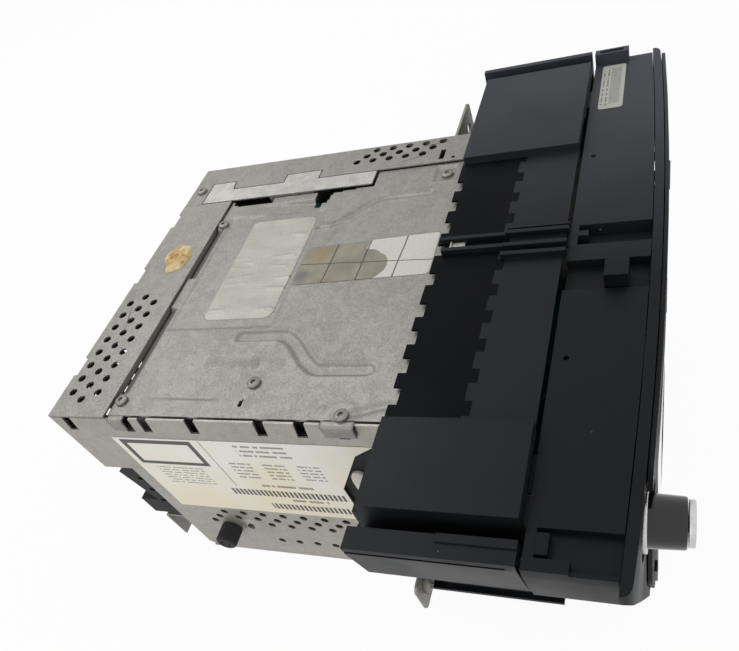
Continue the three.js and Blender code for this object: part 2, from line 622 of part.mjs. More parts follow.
{
  const floor = join(
    block(deck.left, deck.right, deck.front, deck.rear, deck.floor, deckTop),
    block(-innerHalf + gap, deck.left, deck.earFront, deck.rear, deck.floor, deckTop),
  );
  const walls = [
    block(deck.left, deck.left + deck.sheet, deck.front, deck.rear, deck.floor, coverLow - gap),
    block(deck.right - deck.sheet, deck.right, deck.front, servo.front - gap, deck.floor,
      coverLow - troughs.square.depth - gap),
    block(deck.right - deck.sheet, deck.right, servo.front - 2 * gap, deck.rear, deck.floor,
      servoLow - gap),
  ];
  const wellHole = rod("z", [disc.x, disc.y], motor.boss + gap, deck.floor - overrun,
    deckTop + overrun);
  const rodZ = deckTop + gap + sled.height / 2;
  const posts = [-1, 1].flatMap((side) => [guideRod.from - guideRod.post, guideRod.to + gap].map((y) => {
    const x = disc.x + side * guideRod.offset;
    return block(x - guideRod.post, x + guideRod.post, y, y + guideRod.post - gap, deck.floor,
      rodZ + guideRod.post);
  }));
  const screwPosts = [guideRod.from - guideRod.post, guideRod.to + gap].map((y) => {
    const x = disc.x + leadScrew.offset + guideRod.post;
    return block(x, x + guideRod.post * 2, y, y + guideRod.post - gap, deck.floor,
      rodZ + guideRod.post);
  });
  const axleHole = rod("x", [roller.y, roller.z], roller.shaft + gap, deck.left - overrun,
    deck.right + overrun);
  add("mechanism_deck", cut(join(floor, ...walls, ...posts, ...screwPosts), wellHole, axleHole),
    brightSteel);
}

{
  const top = deck.floor - gap;
  const bossTop = deckTop + gap * 2;
  add("spindle_motor", turned("z", [disc.x, disc.y], [[0, top - motor.length],
    [motor.radius, top - motor.length], [motor.radius, top], [motor.boss, top],
    [motor.boss, bossTop], [0, bossTop]]), aluminium);
  const hubLow = bossTop + gap;
  const hubTop = disc.z - motor.hubHeight;
  add("turntable", turned("z", [disc.x, disc.y], [[0, hubLow], [motor.boss, hubLow],
    [motor.boss, hubTop - motor.hubHeight], [motor.hub, hubTop - motor.hubHeight],
    [motor.hub, hubTop], [motor.cone, hubTop], [motor.cone, disc.z], [0, disc.z]]), blackPlastic);
}

{
  const rodZ = deckTop + gap + sled.height / 2;
  [-1, 1].forEach((side, i) => {
    const x = disc.x + side * guideRod.offset;
    add(["guide_rod_left", "guide_rod_right"][i], rod("y", [x, rodZ], guideRod.radius,
      guideRod.from, guideRod.to, arcSteps), silver);
  });
  const low = deckTop + gap;
  const body = block(disc.x - guideRod.offset - guideRod.post, disc.x + guideRod.offset
    + guideRod.post, sled.y - sled.depth / 2, sled.y + sled.depth / 2, low, low + sled.height);
  const bores = [-1, 1].map((side) => rod("y", [disc.x + side * guideRod.offset, rodZ],
    guideRod.radius + gap, sled.y - sled.depth, sled.y + sled.depth, arcSteps));
  const lens = rod("z", [disc.x, sled.y], sled.lensRadius, low + sled.height / 2,
    low + sled.height + guideRod.radius);
  const screwX = disc.x + leadScrew.offset + 2 * guideRod.post;
  const arm = block(disc.x, screwX - leadScrew.radius - gap, sled.y - guideRod.post,
    sled.y + guideRod.post, rodZ + guideRod.radius + 2 * gap, low + sled.height);
  const nut = block(screwX - leadScrew.radius - gap - guideRod.radius, screwX - leadScrew.radius - gap,
    sled.y - guideRod.post, sled.y + guideRod.post, low, low + sled.height);
  add("laser_sled", join(cut(body, ...bores), lens, arm, nut), blackPlastic);
  const pitch = (guideRod.to - guideRod.from - 2 * guideRod.post) / leadScrew.ridges;
  const start = guideRod.from + guideRod.post;
  const profile = [[0, guideRod.from], [leadScrew.root, guideRod.from]];
  for (let i = 0; i < leadScrew.ridges; i += 1) {
    const y = start + i * pitch;
    profile.push([leadScrew.root, y], [leadScrew.radius, y + pitch / 2]);
  }
  profile.push([leadScrew.root, start + leadScrew.ridges * pitch], [leadScrew.root, guideRod.to],
    [0, guideRod.to]);
  add("lead_screw", turned("y", [screwX, rodZ], profile, ventSides), silver);
}

{
  const core = deck.left + gap;
  const end = deck.right - gap;
  const { shaft, radius, overhang } = roller;
  const sleeve0 = deck.left + deck.sheet + overhang;
  const sleeve1 = deck.right - deck.sheet - overhang;
  add("loading_roller", turned("x", [roller.y, roller.z], [[0, core], [shaft, core],
    [shaft, sleeve0], [radius, sleeve0], [radius, sleeve1], [shaft, sleeve1], [shaft, end],
    [0, end]]), rubberBlack);
}

// Boards

const chipSpotShares = [[-0.5, -0.3, 0.36], [0.25, -0.45, 0.26], [-0.1, 0.35, 0.3], [0.6, 0.2, 0.2]];
{
  const plate = block(-boardHalf, boardHalf, board.front, board.rear, board.z,
    board.z + board.thick);
  const chips = chipSpotShares.map(([a, b, size]) => {
    const x = a * boardHalf;
    const y = b * board.rear;
    const reachOf = size * boardHalf / 2;
    return block(x - reachOf, x + reachOf, y - reachOf, y + reachOf, board.z,
      board.z + 3 * board.thick);
  });
  add("main_board", join(plate, ...chips), circuitGreen);
}

{
  const { left, right, front: end, rear } = servo;
  add("servo_board", block(left, right, end, rear, servoLow, servoLow + board.thick), circuitGreen);
}

// Screws of the top, seated on the cover and the strips

const screwIn = { rear: 2.9, nearRear: 3.8, nearRearSide: 7.6, farRear: 19.3, wall: 2, wallY: -16,
  middle: 17.5, middleY: 28.3, strip: 12, stripRear: 6.3 };
const panScrewShares = [0.478, 0.42];
const { square: squarePan } = troughs;
const flushSeat = gap / 6;
const screwSpots = [
  [cover.right - screwIn.farRear, cover.rear - screwIn.rear, coverTop],
  [coverLeft + screwIn.wall, screwIn.wallY, coverTop],
  [squarePan.left + (squarePan.right - squarePan.left) * panScrewShares[0],
    squarePan.front + (squarePan.rear - squarePan.front) * panScrewShares[1],
    coverTop - squarePan.depth],
  [coverLeft + screwIn.nearRearSide, cover.rear - screwIn.nearRear, coverTop],
  [coverLeft + screwIn.middle, screwIn.middleY, coverTop],
  [sidePlate.left + screwIn.strip, rearHigh - screwIn.stripRear, sheetTop],
];
screwSpots.forEach(([x, y, seat], i) => {
  const { radius, crown, head, socket, socketDepth } = screw;
  const low = seat + flushSeat;
  add(`top_screw_${i + 1}`, turned("z", [x, y], [[0, low], [radius, low],
    [radius, low + head / 2], [crown, low + head], [socket, low + head],
    [socket, low + head - socketDepth], [0, low + head - socketDepth]], arcSteps), brightSteel);
});

// Hardened drop of sealant on the rear strip

const sealant = { x: 11.4, y: 109.1, length: 22.4, width: 17.4, height: 2.6 };
const sealantShares = [[-0.5, 0.11], [-0.3, 0.31], [-0.05, 0.45], [0.17, 0.5], [0.38, 0.42],
  [0.5, 0.22], [0.48, -0.06], [0.38, -0.28], [0.2, -0.43], [0, -0.49], [-0.2, -0.44], [-0.38, -0.3]];
const sealantStepShares = [[1, 0], [0.93, 0.45], [0.76, 0.78], [0.48, 0.97], [0.2, 1]];
{
  const { x, y, length, width, height } = sealant;
  const low = sheetTop + flushSeat;
  const corners = sealantStepShares.flatMap(([spread, rise]) => sealantShares.map(
    ([along, across]) => [x + along * spread * length, y + across * spread * width,
      low + rise * height]));
  add("sealant_dab", wasm.Manifold.hull(corners), sealantAmber);
}

// Labels lie on the sheets

const foilIn = { left: 5.3, right: 3.2, front: 2.5, rear: 15.4 };
const { panel: foilPanel } = troughs;
const label = { thick: 0.15, foilLeft: foilPanel.left + foilIn.left,
  foilRight: foilPanel.right - foilIn.right, foilFront: foilPanel.front + foilIn.front,
  foilRear: foilPanel.rear - foilIn.rear, foilChamfer: 1.4, foilCorner: 4,
  sideRear: fromRear(rearIn.sideLabel),
  sideTop: cutout.top - gap, sideBelow: 2.9, stickerLeft: fromEnd(endIn.stickerLeft),
  stickerRight: fromEnd(endIn.stickerRight), stickerRear: -93, stickerFront: -104,
  stickerCorner: 1.5 };
const note = { rearLeft: -13, rearRight: 12.3, frontLeft: -11.1, frontRight: 15.7, rear: 32.8,
  front: -32.8, tilt: 0.4, corner: 2 };

{
  const low = coverTop - troughs.panel.depth + flushSeat;
  add("foil_label", prism("z", softened([[label.foilLeft, label.foilFront],
    [label.foilRight, label.foilFront], [label.foilRight, label.foilRear - label.foilChamfer * 2],
    [label.foilRight - label.foilChamfer, label.foilRear], [label.foilLeft, label.foilRear]],
  label.foilCorner), low, low + label.thick), foil);
  const flat = coverTop + flushSeat;
  add("paper_label", prism("z", softened([[note.rearLeft, note.rear + note.tilt],
    [note.rearRight, note.rear], [note.frontRight, note.front + note.tilt],
    [note.frontLeft, note.front]], note.corner), flat, flat + label.thick), paper);
  const x = -half - flushSeat;
  const foot = cutout.step - label.sideBelow;
  add("side_label", prism("x", [[label.sideRear, foot], [label.sideRear, label.sideTop],
    [cutout.knee + flushSeat, label.sideTop], [cutout.brow, cutout.shoulder],
    [0, cutout.brace], [0, cutout.step], [label.stickerCorner, foot]],
  x - label.thick, x), paper);
}

// Rubber guide bush on the side wall

{
  const outer = -half - gap;
  const { radius, length, neck, washer } = guide;
  add("guide_bush", turned("x", [guide.y, guide.z], [[0, outer - length], [radius - washer,
    outer - length], [radius, outer - length + washer], [radius, outer], [neck, outer],
    [neck, -innerHalf + gap], [0, -innerHalf + gap]]), rubberBlack);
}

// Guard plate and oval stud behind the wall's cut-out

const guard = { thick: 1.8, rear: 12, front: -78, over: 5, under: 4 };
const studRiseShare = 0.6484;
const stud = { y: -11, z: studRiseShare * wallTop, width: 9, height: 19, length: 2.4 };
{
  const x1 = -innerHalf + gap + guard.thick;
  const x0 = -innerHalf + gap;
  add("side_guard", prism("x", boxed(guard.front, guard.rear, cutout.foot - guard.under,
    cutout.top + guard.over), x0, x1),
    blackPlastic);
  add("side_stud", prism("x", rounded(stud.y - stud.width / 2, stud.y + stud.width / 2,
    stud.z - stud.height / 2, stud.z + stud.height / 2, stud.width / 2 - gap), x0 - flushSeat
    - stud.length, x0 - flushSeat), whitePlastic);
}

// Rear shroud: an arch of plastic over and beside the chassis

const panelIn = { near: 0.3, far: 28.5 };
const toeOut = 7;
const archDrop = { shoulder: 3.8, waist: 25.1, groove: 12.6, seamLow: 3.4, seamHigh: 2.4 };
const shroud = { rear: -32.4, panelRear: -35, front: -87.6, half: fromEnd(endIn.shroud),
  farHalf: fromEnd(endIn.shroudFar), wall: 2.2, shoulder: belowTop(archDrop.shoulder),
  waistHalf: fromEnd(endIn.shroudWaist), waist: belowTop(archDrop.waist), lipDrop: 3,
  lipHalf: fromEnd(endIn.shroudLip), toe: half + toeOut, nearRise: 4.5, farRise: 4.7, lowRise: 1.2,
  nearStart: nearIn(panelIn.near), nearEnd: -fromEnd(endIn.nearPanel), farStart: farIn(panelIn.far),
  farEnd: fromEnd(endIn.farPanel), railRise: 5.5, railWidth: 3, grooveLeft: -fromEnd(endIn.groove),
  grooveFloor: belowTop(archDrop.groove), ledgeLeft: -fromEnd(endIn.ledge), ledgeRear: -62.5,
  ledgeRise: 0.8, seamDepth: 0.8, seamFront: -84.2, seamLow: belowTop(archDrop.seamLow),
  seamHigh: belowTop(archDrop.seamHigh), toothRear: -34.1, notchRear: -37.3, footReach: 3.4,
  footRear: -18.6, footFront: -85, footDrop: 1.4, footRise: 0.6 };

// The two ends of each tooth on the low panel's rear edge, and the middles of the guide rails, as
// shares of half the chassis width
const toothShares = [[-0.973, -0.911], [-0.823, -0.748], [-0.666, -0.59], [-0.508, -0.43],
  [-0.347, -0.23], [-0.15, -0.032], [0.043, 0.127], [0.213, 0.295], [0.376, 0.455], [0.533, 0.7]];
const railRuns = { width: 2, thin: 1.2, rise: 2.6, lowRise: 1.2, middle: -63.6, farRear: -35.4,
  nearRear: -37.5, frontGap: 1.3 };
const rearRailShares = [0.052, -0.026];
const frontRailShares = [0.064, -0.023, -0.082];
const thinRailShare = 0.111;

const archOutline = (p, top) => [[-p.toe, front.floor], [-p.lipHalf, p.waist - p.lipDrop],
  [-p.waistHalf, p.waist], [-p.half, p.shoulder], [-p.half, top], [p.farHalf, top],
  [p.farHalf, p.shoulder], [p.waistHalf, p.waist], [p.lipHalf, p.waist - p.lipDrop],
  [p.toe, front.floor]];

{
  const s = shroud;
  const top = chassis.height;
  const outline = archOutline(s, top);
  const grooveCore = block(-s.half, s.nearEnd + s.wall, s.front - overrun, s.rear + overrun,
    s.grooveFloor - s.wall, top);
  const inside = prism("y", inset(outline, s.wall), s.front - overrun, s.rear + overrun);
  const openFoot = block(s.wall - s.toe, s.toe - s.wall, s.front - overrun, s.rear + overrun,
    -overrun, front.floor + 2 * s.wall);
  const hollow = cut(join(inside, openFoot), grooveCore);
  const mouth = block(-half - gap, half + gap, s.front - overrun, s.rear + overrun,
    -overrun, sheetTop + gap);
  const lowPanel = [[s.farStart + s.wall, s.front], [s.nearStart - s.wall, s.front],
    [s.nearStart - s.wall, s.notchRear]];
  toothShares.forEach(([near, far]) => {
    lowPanel.push([near * half, s.notchRear], [near * half, s.toothRear], [far * half, s.toothRear],
      [far * half, s.notchRear]);
  });
  lowPanel.push([s.farStart + s.wall, s.notchRear]);
  const panelLow = sheetTop + gap;
  const low = prism("z", lowPanel, panelLow, top + s.lowRise);
  const nearPanel = block(s.nearEnd, s.nearStart, s.front, s.panelRear, top - s.wall,
    top + s.nearRise);
  const farPanel = block(s.farStart, s.farEnd, s.front, s.panelRear, top - s.wall,
    top + s.farRise);
  const farRail = block(s.farHalf - s.railWidth, s.farHalf, s.front, s.rear, top - s.wall,
    top + s.railRise);
  const groove = block(s.grooveLeft, s.nearEnd, s.front - overrun, s.rear + overrun,
    s.grooveFloor, top + overrun);
  const ledge = block(s.ledgeLeft, s.grooveLeft, s.front, s.ledgeRear, top - s.wall,
    top + s.ledgeRise);
  const seam = block(-s.half - overrun, s.seamDepth - s.half, s.seamFront, s.rear + overrun,
    s.seamLow, s.seamHigh);
  const foot = block(-s.toe - s.footReach, s.wall - s.toe, s.footFront, s.footRear,
    front.floor - s.footDrop, front.floor + s.footRise);
  const r = railRuns;
  const rail = (share, width, from, to, rise) => block(share * half - width / 2,
    share * half + width / 2, from, to, panelLow, top + s.lowRise + rise);
  const railFront = s.front - r.frontGap;
  const rails = [
    rail(rearRailShares[0], r.width, r.middle, r.farRear, r.rise),
    rail(rearRailShares[1], r.width, r.middle, r.nearRear, r.rise),
    ...frontRailShares.map((share) => rail(share, r.width, railFront, r.middle + gap, r.rise)),
    rail(thinRailShare, r.thin, railFront, r.middle, r.lowRise),
  ];
  const shell = cut(prism("y", outline, s.front, s.rear), hollow);
  const raised = join(shell, nearPanel, farPanel, farRail);
  const body = join(cut(raised, mouth, groove, seam), low, ledge, foot, ...rails);
  add("rear_shroud", body, blackPlastic);
}

const earthClip = { front: -46.8, rear: -40.4, thick: 0.8, upturn: 1.6, lug: 0.8 };
{
  const { front: end, rear, thick, upturn, lug } = earthClip;
  const [far, near] = rearRailShares.map((share) => share * half);
  const left = near + railRuns.width / 2 + gap;
  const right = far - railRuns.width / 2 - gap;
  const low = chassis.height + shroud.lowRise + flushSeat;
  const top = block(left, right, end, rear, low, low + thick);
  const fold = block(left, right, rear - lug, rear, low, low + upturn);
  add("earth_clip", join(top, fold), brightSteel);
}

// Front frame between the shroud and the fascia plate

const frame = { rear: -89.2, half: fromEnd(endIn.frame), farHalf: fromEnd(endIn.shroudFar), wall: 2.4,
  shoulder: belowTop(archDrop.shoulder), waist: belowTop(archDrop.waist), lipDrop: 3,
  waistHalf: fromEnd(endIn.frameWaist), lipHalf: fromEnd(endIn.frameLip), toe: bottomHalf,
  spacerIn: 26, spacerWidth: 14, spacerDrop: 1, blockWidth: 4.2, blockFront: -102.6, blockRise: 1 };
const pocket = { left: -1.2, right: 10.6, depth: 6, rear: -92.3, boss: 3, bossX: 5.8,
  bossY: -94.6, nearIn: 4.2, nearWidth: 10, nearDepth: 2.8, nearBoss: 7, nearWall: 1.4,
  laneLeft: -26.5, laneRight: -10.4, laneDepth: 4, catchLeft: -25.5, catchRight: -16,
  catchFront: -112.6, catchRear: -104.2, catchRise: 5.4, clipWidth: 4.5, clipWall: 1.2,
  clipFront: -105, clipFloor: 1.2, dotRadius: 1.1, dotFarX: 57.4, dotNearX: -60, dotY: -94,
  dotDepth: 1.6 };

function bowed(backline, frontline, halfWidth, z0, z1, lean) {
  const steps = arcSteps * 2;
  const along = (line, i) => {
    const x = halfWidth * (2 * i / steps - 1);
    return [x, line + bowAt(x)];
  };
  const back = Array.from({ length: steps + 1 }, (unused, i) => along(backline, i));
  const face = Array.from({ length: steps + 1 }, (unused, i) => along(frontline, steps - i));
  const ring = [...back, ...face].map(([x, y]) => new THREE.Vector2(x, y));
  if (THREE.ShapeUtils.area(ring) < 0) ring.reverse();
  const geometry = new THREE.ExtrudeGeometry(new THREE.Shape(ring), {
    depth: z1 - z0, bevelEnabled: false,
  });
  geometry.translate(0, 0, z0 - frontTop);
  geometry.applyMatrix4(new THREE.Matrix4().makeShear(0, 0, 0, 0, 0, -lean));
  geometry.translate(0, 0, frontTop);
  return solid(geometry);
}

{
  const f = frame;
  const outline = archOutline(f, frontTop);
  const reachFront = front.seam - overrun;
  const outer = prism("y", outline, reachFront, f.rear);
  const inner = prism("y", inset(outline, f.wall), reachFront - overrun, f.rear + overrun);
  const spacers = [-1, 1].map((side) => {
    const x = side * (f.half - f.spacerIn - f.spacerWidth / 2);
    return block(x - f.spacerWidth / 2, x + f.spacerWidth / 2, f.rear - f.wall, shroud.front - gap,
      frontTop - f.wall + gap, frontTop - f.spacerDrop);
  });
  const endBlock = block(-f.half, -f.half + f.blockWidth, f.blockFront, f.rear, frontTop - f.wall,
    frontTop + f.blockRise);
  const p = pocket;
  const pocketTub = (x0, x1, rear, depth) => ({
    tub: block(x0 - f.wall, x1 + f.wall, reachFront, Math.min(rear + f.wall, f.rear),
      frontTop - depth - f.wall, frontTop),
    hole: block(x0, x1, reachFront - overrun, rear, frontTop - depth, frontTop + overrun),
  });
  const mid = pocketTub(p.left, p.right, p.rear, p.depth);
  const lane = pocketTub(p.laneLeft, p.laneRight, f.rear + overrun, p.laneDepth);
  const nearLeft = p.nearIn - f.half;
  const near = pocketTub(nearLeft, nearLeft + p.nearWidth, p.rear, p.nearDepth);
  const nearFront = block(p.nearWall - f.half, nearLeft + gap, reachFront - overrun, f.blockFront,
    frontTop - p.nearDepth, frontTop + overrun);
  const dots = [p.dotFarX, p.dotNearX].map((x) => rod("z", [x, p.dotY], p.dotRadius,
    frontTop - p.dotDepth, frontTop + overrun, ventSides));
  const bosses = [[p.bossX, p.boss, p.depth],
    [nearLeft + p.nearWidth / 2, p.nearBoss, p.nearDepth]].map(([x, width, depth]) =>
    block(x - width / 2, x + width / 2, p.bossY - p.boss / 2, p.rear + gap,
      frontTop - depth - gap, frontTop - flushSeat));
  const catchBlock = block(p.catchLeft, p.catchRight, p.catchFront, p.catchRear,
    frontTop - p.laneDepth - gap, frontTop + p.catchRise);
  const clipLeft = f.farHalf - p.clipWidth;
  const clip = block(clipLeft, f.farHalf, p.clipFront, f.rear, frontTop - gap,
    frontTop + shroud.railRise);
  const clipHollow = block(clipLeft + p.clipWall, f.farHalf - p.clipWall, p.clipFront + f.wall,
    f.rear - f.wall, frontTop + p.clipFloor, frontTop + shroud.railRise + overrun);
  const face = bowed(front.seam + gap, f.rear + overrun, front.halfWidth + overrun,
    -overrun, frontTop + 2 * overrun, 0);
  let body = join(cut(outer, inner), mid.tub.intersect(outer), lane.tub.intersect(outer),
    near.tub.intersect(outer));
  body = cut(body, mid.hole, lane.hole, near.hole, nearFront, ...dots);
  body = join(body, ...bosses, ...spacers, catchBlock, endBlock, cut(clip, clipHollow));
  add("front_frame", body.intersect(face), blackPlastic);
}

{
  const low = frontTop + flushSeat;
  add("cover_label", prism("z", rounded(label.stickerLeft, label.stickerRight,
    label.stickerFront, label.stickerRear, label.stickerCorner), low, low + label.thick), paper);
}

// Fascia plate, bezel and what they hold

const faceDrop = { knob: 22.6, screen: 33.6, slot: 15.6, board: 21.6, boardEar: 11.6 };
const knob = { x: -fromEnd(endIn.knob), z: belowTop(faceDrop.knob), ringRadius: 10.5,
  ringBore: 9.2, ringDepth: 2.6, well: 2.2,
  base: 8.8, tip: 8.05, length: 13.6, cap: 7.5, capThick: 2, wellRadius: 13.4, shaft: 2.6,
  shaftHole: 3.2, collar: 5.1, face: 6, pin: 2.6, push: 0.8 };
const keyColumn = 25;
const presetColumn = 9;
const screen = { left: presetColumn - bottomHalf, right: bottomHalf - keyColumn, bottom: 9,
  top: belowTop(faceDrop.screen), glass: 1.1 };
const slot = { left: -fromEnd(endIn.slotLeft), right: fromEnd(endIn.slotRight), height: 6,
  z: belowTop(faceDrop.slot) };
const keyHeightShare = 0.1392;
const key = { rows: 5, width: 17, height: keyHeightShare * (screen.top - screen.bottom),
  travel: 0.8, proud: 0.7, flange: 1.2, flangeThick: 1.2,
  smallWidth: 10, smallHeight: 9, ejectWidth: 12, ejectHeight: 7, smallPlaceShares: [0.3, 0.54] };

const frontBoard = { y: -109.5, thick: 1.6, low: 8, top: belowTop(faceDrop.board),
  earTop: belowTop(faceDrop.boardEar), earRight: fromEnd(endIn.boardEarRight),
  earLeft: -fromEnd(endIn.boardEarLeft) };
const bezel = { edge: -fromEnd(endIn.bezelEdge), bend: 45, inset: 2.5, topInset: 0.8, corner: 4.5 };

const keys = [];
for (let i = 0; i < key.rows; i += 1) {
  const z = screen.bottom + key.height / 2 + i * (screen.top - screen.bottom - key.height)
    / (key.rows - 1);
  const x = edgeHalfAt(z) - front.cornerRadius * 2 - key.width / 2;
  keys.push({ name: `menu_key_${i + 1}`, x: Math.max(x, screen.right + key.width / 2 + 3 * key.flange),
    z, width: key.width, height: key.height });
}
key.smallPlaceShares.forEach((share, i) => {
  const z = screen.bottom + (screen.top - screen.bottom) * share;
  keys.push({ name: `preset_key_${i + 1}`, x: screen.left - key.smallWidth / 2 - 3 * key.flange, z,
    width: key.smallWidth, height: key.smallHeight });
});
keys.push({ name: "eject_key", x: slot.right + key.ejectWidth, z: slot.z,
  width: key.ejectWidth, height: key.ejectHeight });

const plateOutline = [[-bottomHalf, front.floor], [-front.halfWidth, frontTop - front.bandHeight],
  [-front.halfWidth, frontTop], [front.halfWidth, frontTop],
  [front.halfWidth, frontTop - front.bandHeight], [bottomHalf, front.floor]];

const keyHoles = (margin) => keys.map((k) => block(k.x - k.width / 2 - margin,
  k.x + k.width / 2 + margin, bezelFront - overrun, front.seam + overrun, k.z - k.height / 2 - margin,
  k.z + k.height / 2 + margin));
const slotHole = (margin) => block(slot.left - margin, slot.right + margin, bezelFront - overrun,
  front.seam + overrun, slot.z - slot.height / 2 - margin, slot.z + slot.height / 2 + margin);
const screenHole = (margin) => block(screen.left - margin, screen.right + margin,
  bezelFront - overrun, front.seam + overrun, screen.bottom - margin, screen.top + margin);

{
  const outline = prism("y", plateOutline, bezelFront - overrun, front.seam + overrun * 2);
  const corner = front.cornerRadius;
  const plan = [];
  const steps = arcSteps * 2;
  for (let i = 0; i <= steps; i += 1) {
    const x = front.halfWidth * (2 * i / steps - 1);
    plan.push([x, front.seam + bowAt(x)]);
  }
  for (let i = 0; i <= arcSteps / 2; i += 1) {
    const angle = (i / (arcSteps / 2)) * turn / 4;
    plan.push([front.halfWidth - corner * (1 - Math.cos(angle)),
      plateFront + bowAt(front.halfWidth) + corner * (1 - Math.sin(angle)) * front.cornerDepthShare]);
  }
  for (let i = steps - 1; i > 0; i -= 1) {
    const x = (front.halfWidth - corner) * (2 * i / steps - 1);
    plan.push([x, plateFront + bowAt(x)]);
  }
  for (let i = arcSteps / 2; i >= 0; i -= 1) {
    const angle = (i / (arcSteps / 2)) * turn / 4;
    plan.push([-front.halfWidth + corner * (1 - Math.cos(angle)),
      plateFront + bowAt(front.halfWidth) + corner * (1 - Math.sin(angle)) * front.cornerDepthShare]);
  }
  const ring = plan.map(([x, y]) => new THREE.Vector2(x, y));
  if (THREE.ShapeUtils.area(ring) < 0) ring.reverse();
  const geometry = new THREE.ExtrudeGeometry(new THREE.Shape(ring), {
    depth: frontTop + overrun, bevelEnabled: false,
  });
  geometry.translate(0, 0, -frontTop);
  geometry.applyMatrix4(new THREE.Matrix4().makeShear(0, 0, 0, 0, 0, -front.lean));
  geometry.translate(0, 0, frontTop);
  const plate = solid(geometry).intersect(outline);
  const behind = bowed(front.seam, bezelFront - overrun, front.halfWidth + overrun, -overrun,
    frontTop + overrun, 0);
  const well = rod("y", [knob.x, knob.z], knob.wellRadius, bezelFront - overrun,
    plateFront + bowAt(knob.x) + knob.well);
  const shaftHole = rod("y", [knob.x, knob.z], knob.shaftHole, bezelFront - overrun,
    front.seam + overrun);
  add("fascia_plate", cut(plate.intersect(behind), well, shaftHole, ...keyHoles(key.flange + gap),
    slotHole(0), screenHole(gap)), blackPlastic);
}

{
  const back = plateFront - gap;
  const body = bowed(back, bezelFront, front.halfWidth, -overrun, frontTop + overrun, front.lean);
  const straightTop = frontTop - front.bandHeight;
  const [low, high] = [front.floor + bezel.inset, frontTop - bezel.topInset];
  const outline = softened([[-bottomHalf + bezel.inset, low],
    [bottomHalf - bezel.inset, low], [front.halfWidth - bezel.inset, straightTop],
    [front.halfWidth - bezel.inset, high], [bezel.edge, high], [bezel.edge, bezel.bend]],
  bezel.corner);
  const well = rod("y", [knob.x, knob.z], knob.wellRadius, bezelFront - overrun, front.seam, knobSides);
  const face = body.intersect(prism("y", outline, bezelFront - overrun, front.seam));
  add("front_bezel", cut(face, well, ...keyHoles(gap), slotHole(0), screenHole(gap)), glossBlack);
}

{
  const glassFront = bezelFront + bowAt(screen.left) + gap;
  add("screen_glass", block(screen.left, screen.right, glassFront, glassFront + screen.glass,
    screen.bottom, screen.top), darkGlass);
  const panelFront = glassFront + screen.glass + gap;
  const panelBack = frontBoard.y - gap;
  add("display_panel", block(screen.left, screen.right, panelFront, panelBack, screen.bottom,
    screen.top), brightSteel);
}

{
  const b = frontBoard;
  const outline = inset(archOutline(frame, frontTop), frame.wall + gap);
  const whole = prism("y", outline, b.y, b.y + b.thick);
  const across = block(-front.halfWidth, front.halfWidth, b.y, b.y + b.thick, b.low, b.top);
  const reachOf = frame.lipHalf - 3 * frame.wall;
  const ears = [block(b.earRight, reachOf, b.y, b.y + b.thick, b.low, b.earTop),
    block(-reachOf, b.earLeft, b.y, b.y + b.thick, b.low, b.earTop)];
  add("front_board", whole.intersect(join(across, ...ears)), circuitGreen);
}

const slotFelt = { thick: 0.8, margin: 2.6, lips: 0.5 };
{
  const y = front.seam + bowAt(slot.left) + gap;
  const outer = block(slot.left - slotFelt.margin, slot.right + slotFelt.margin, y,
    y + slotFelt.thick, slot.z - slot.height / 2 - slotFelt.margin,
    slot.z + slot.height / 2 + slotFelt.margin);
  const mouth = block(slot.left + slotFelt.margin, slot.right - slotFelt.margin,
    y - overrun, y + overrun, slot.z - slot.height / 2 + slotFelt.lips,
    slot.z + slot.height / 2 - slotFelt.lips);
  add("slot_felt", cut(outer, mouth), feltBlack);
}

// Keys with a flange behind the bezel and a stem towards the front board

keys.forEach((k) => {
  const face = bezelFront + bowAt(k.x) - key.proud + front.lean * (frontTop - k.z) / 2;
  const flangeFront = plateFront + bowAt(k.x) + gap + front.lean * (frontTop - k.z)
    + bowAt(front.halfWidth) / 8;
  const cap = block(k.x - k.width / 2, k.x + k.width / 2, face, flangeFront + key.flangeThick,
    k.z - k.height / 2, k.z + k.height / 2);
  const flange = block(k.x - k.width / 2 - key.flange, k.x + k.width / 2 + key.flange, flangeFront,
    flangeFront + key.flangeThick, k.z - k.height / 2 - key.flange, k.z + k.height / 2 + key.flange);
  const stemReach = key.height / 6;
  const stem = block(k.x - stemReach, k.x + stemReach, flangeFront, frontBoard.y - key.travel - gap,
    k.z - stemReach, k.z + stemReach);
  add(k.name, join(cap, flange, stem), glossBlack);
});

// Volume knob on its encoder

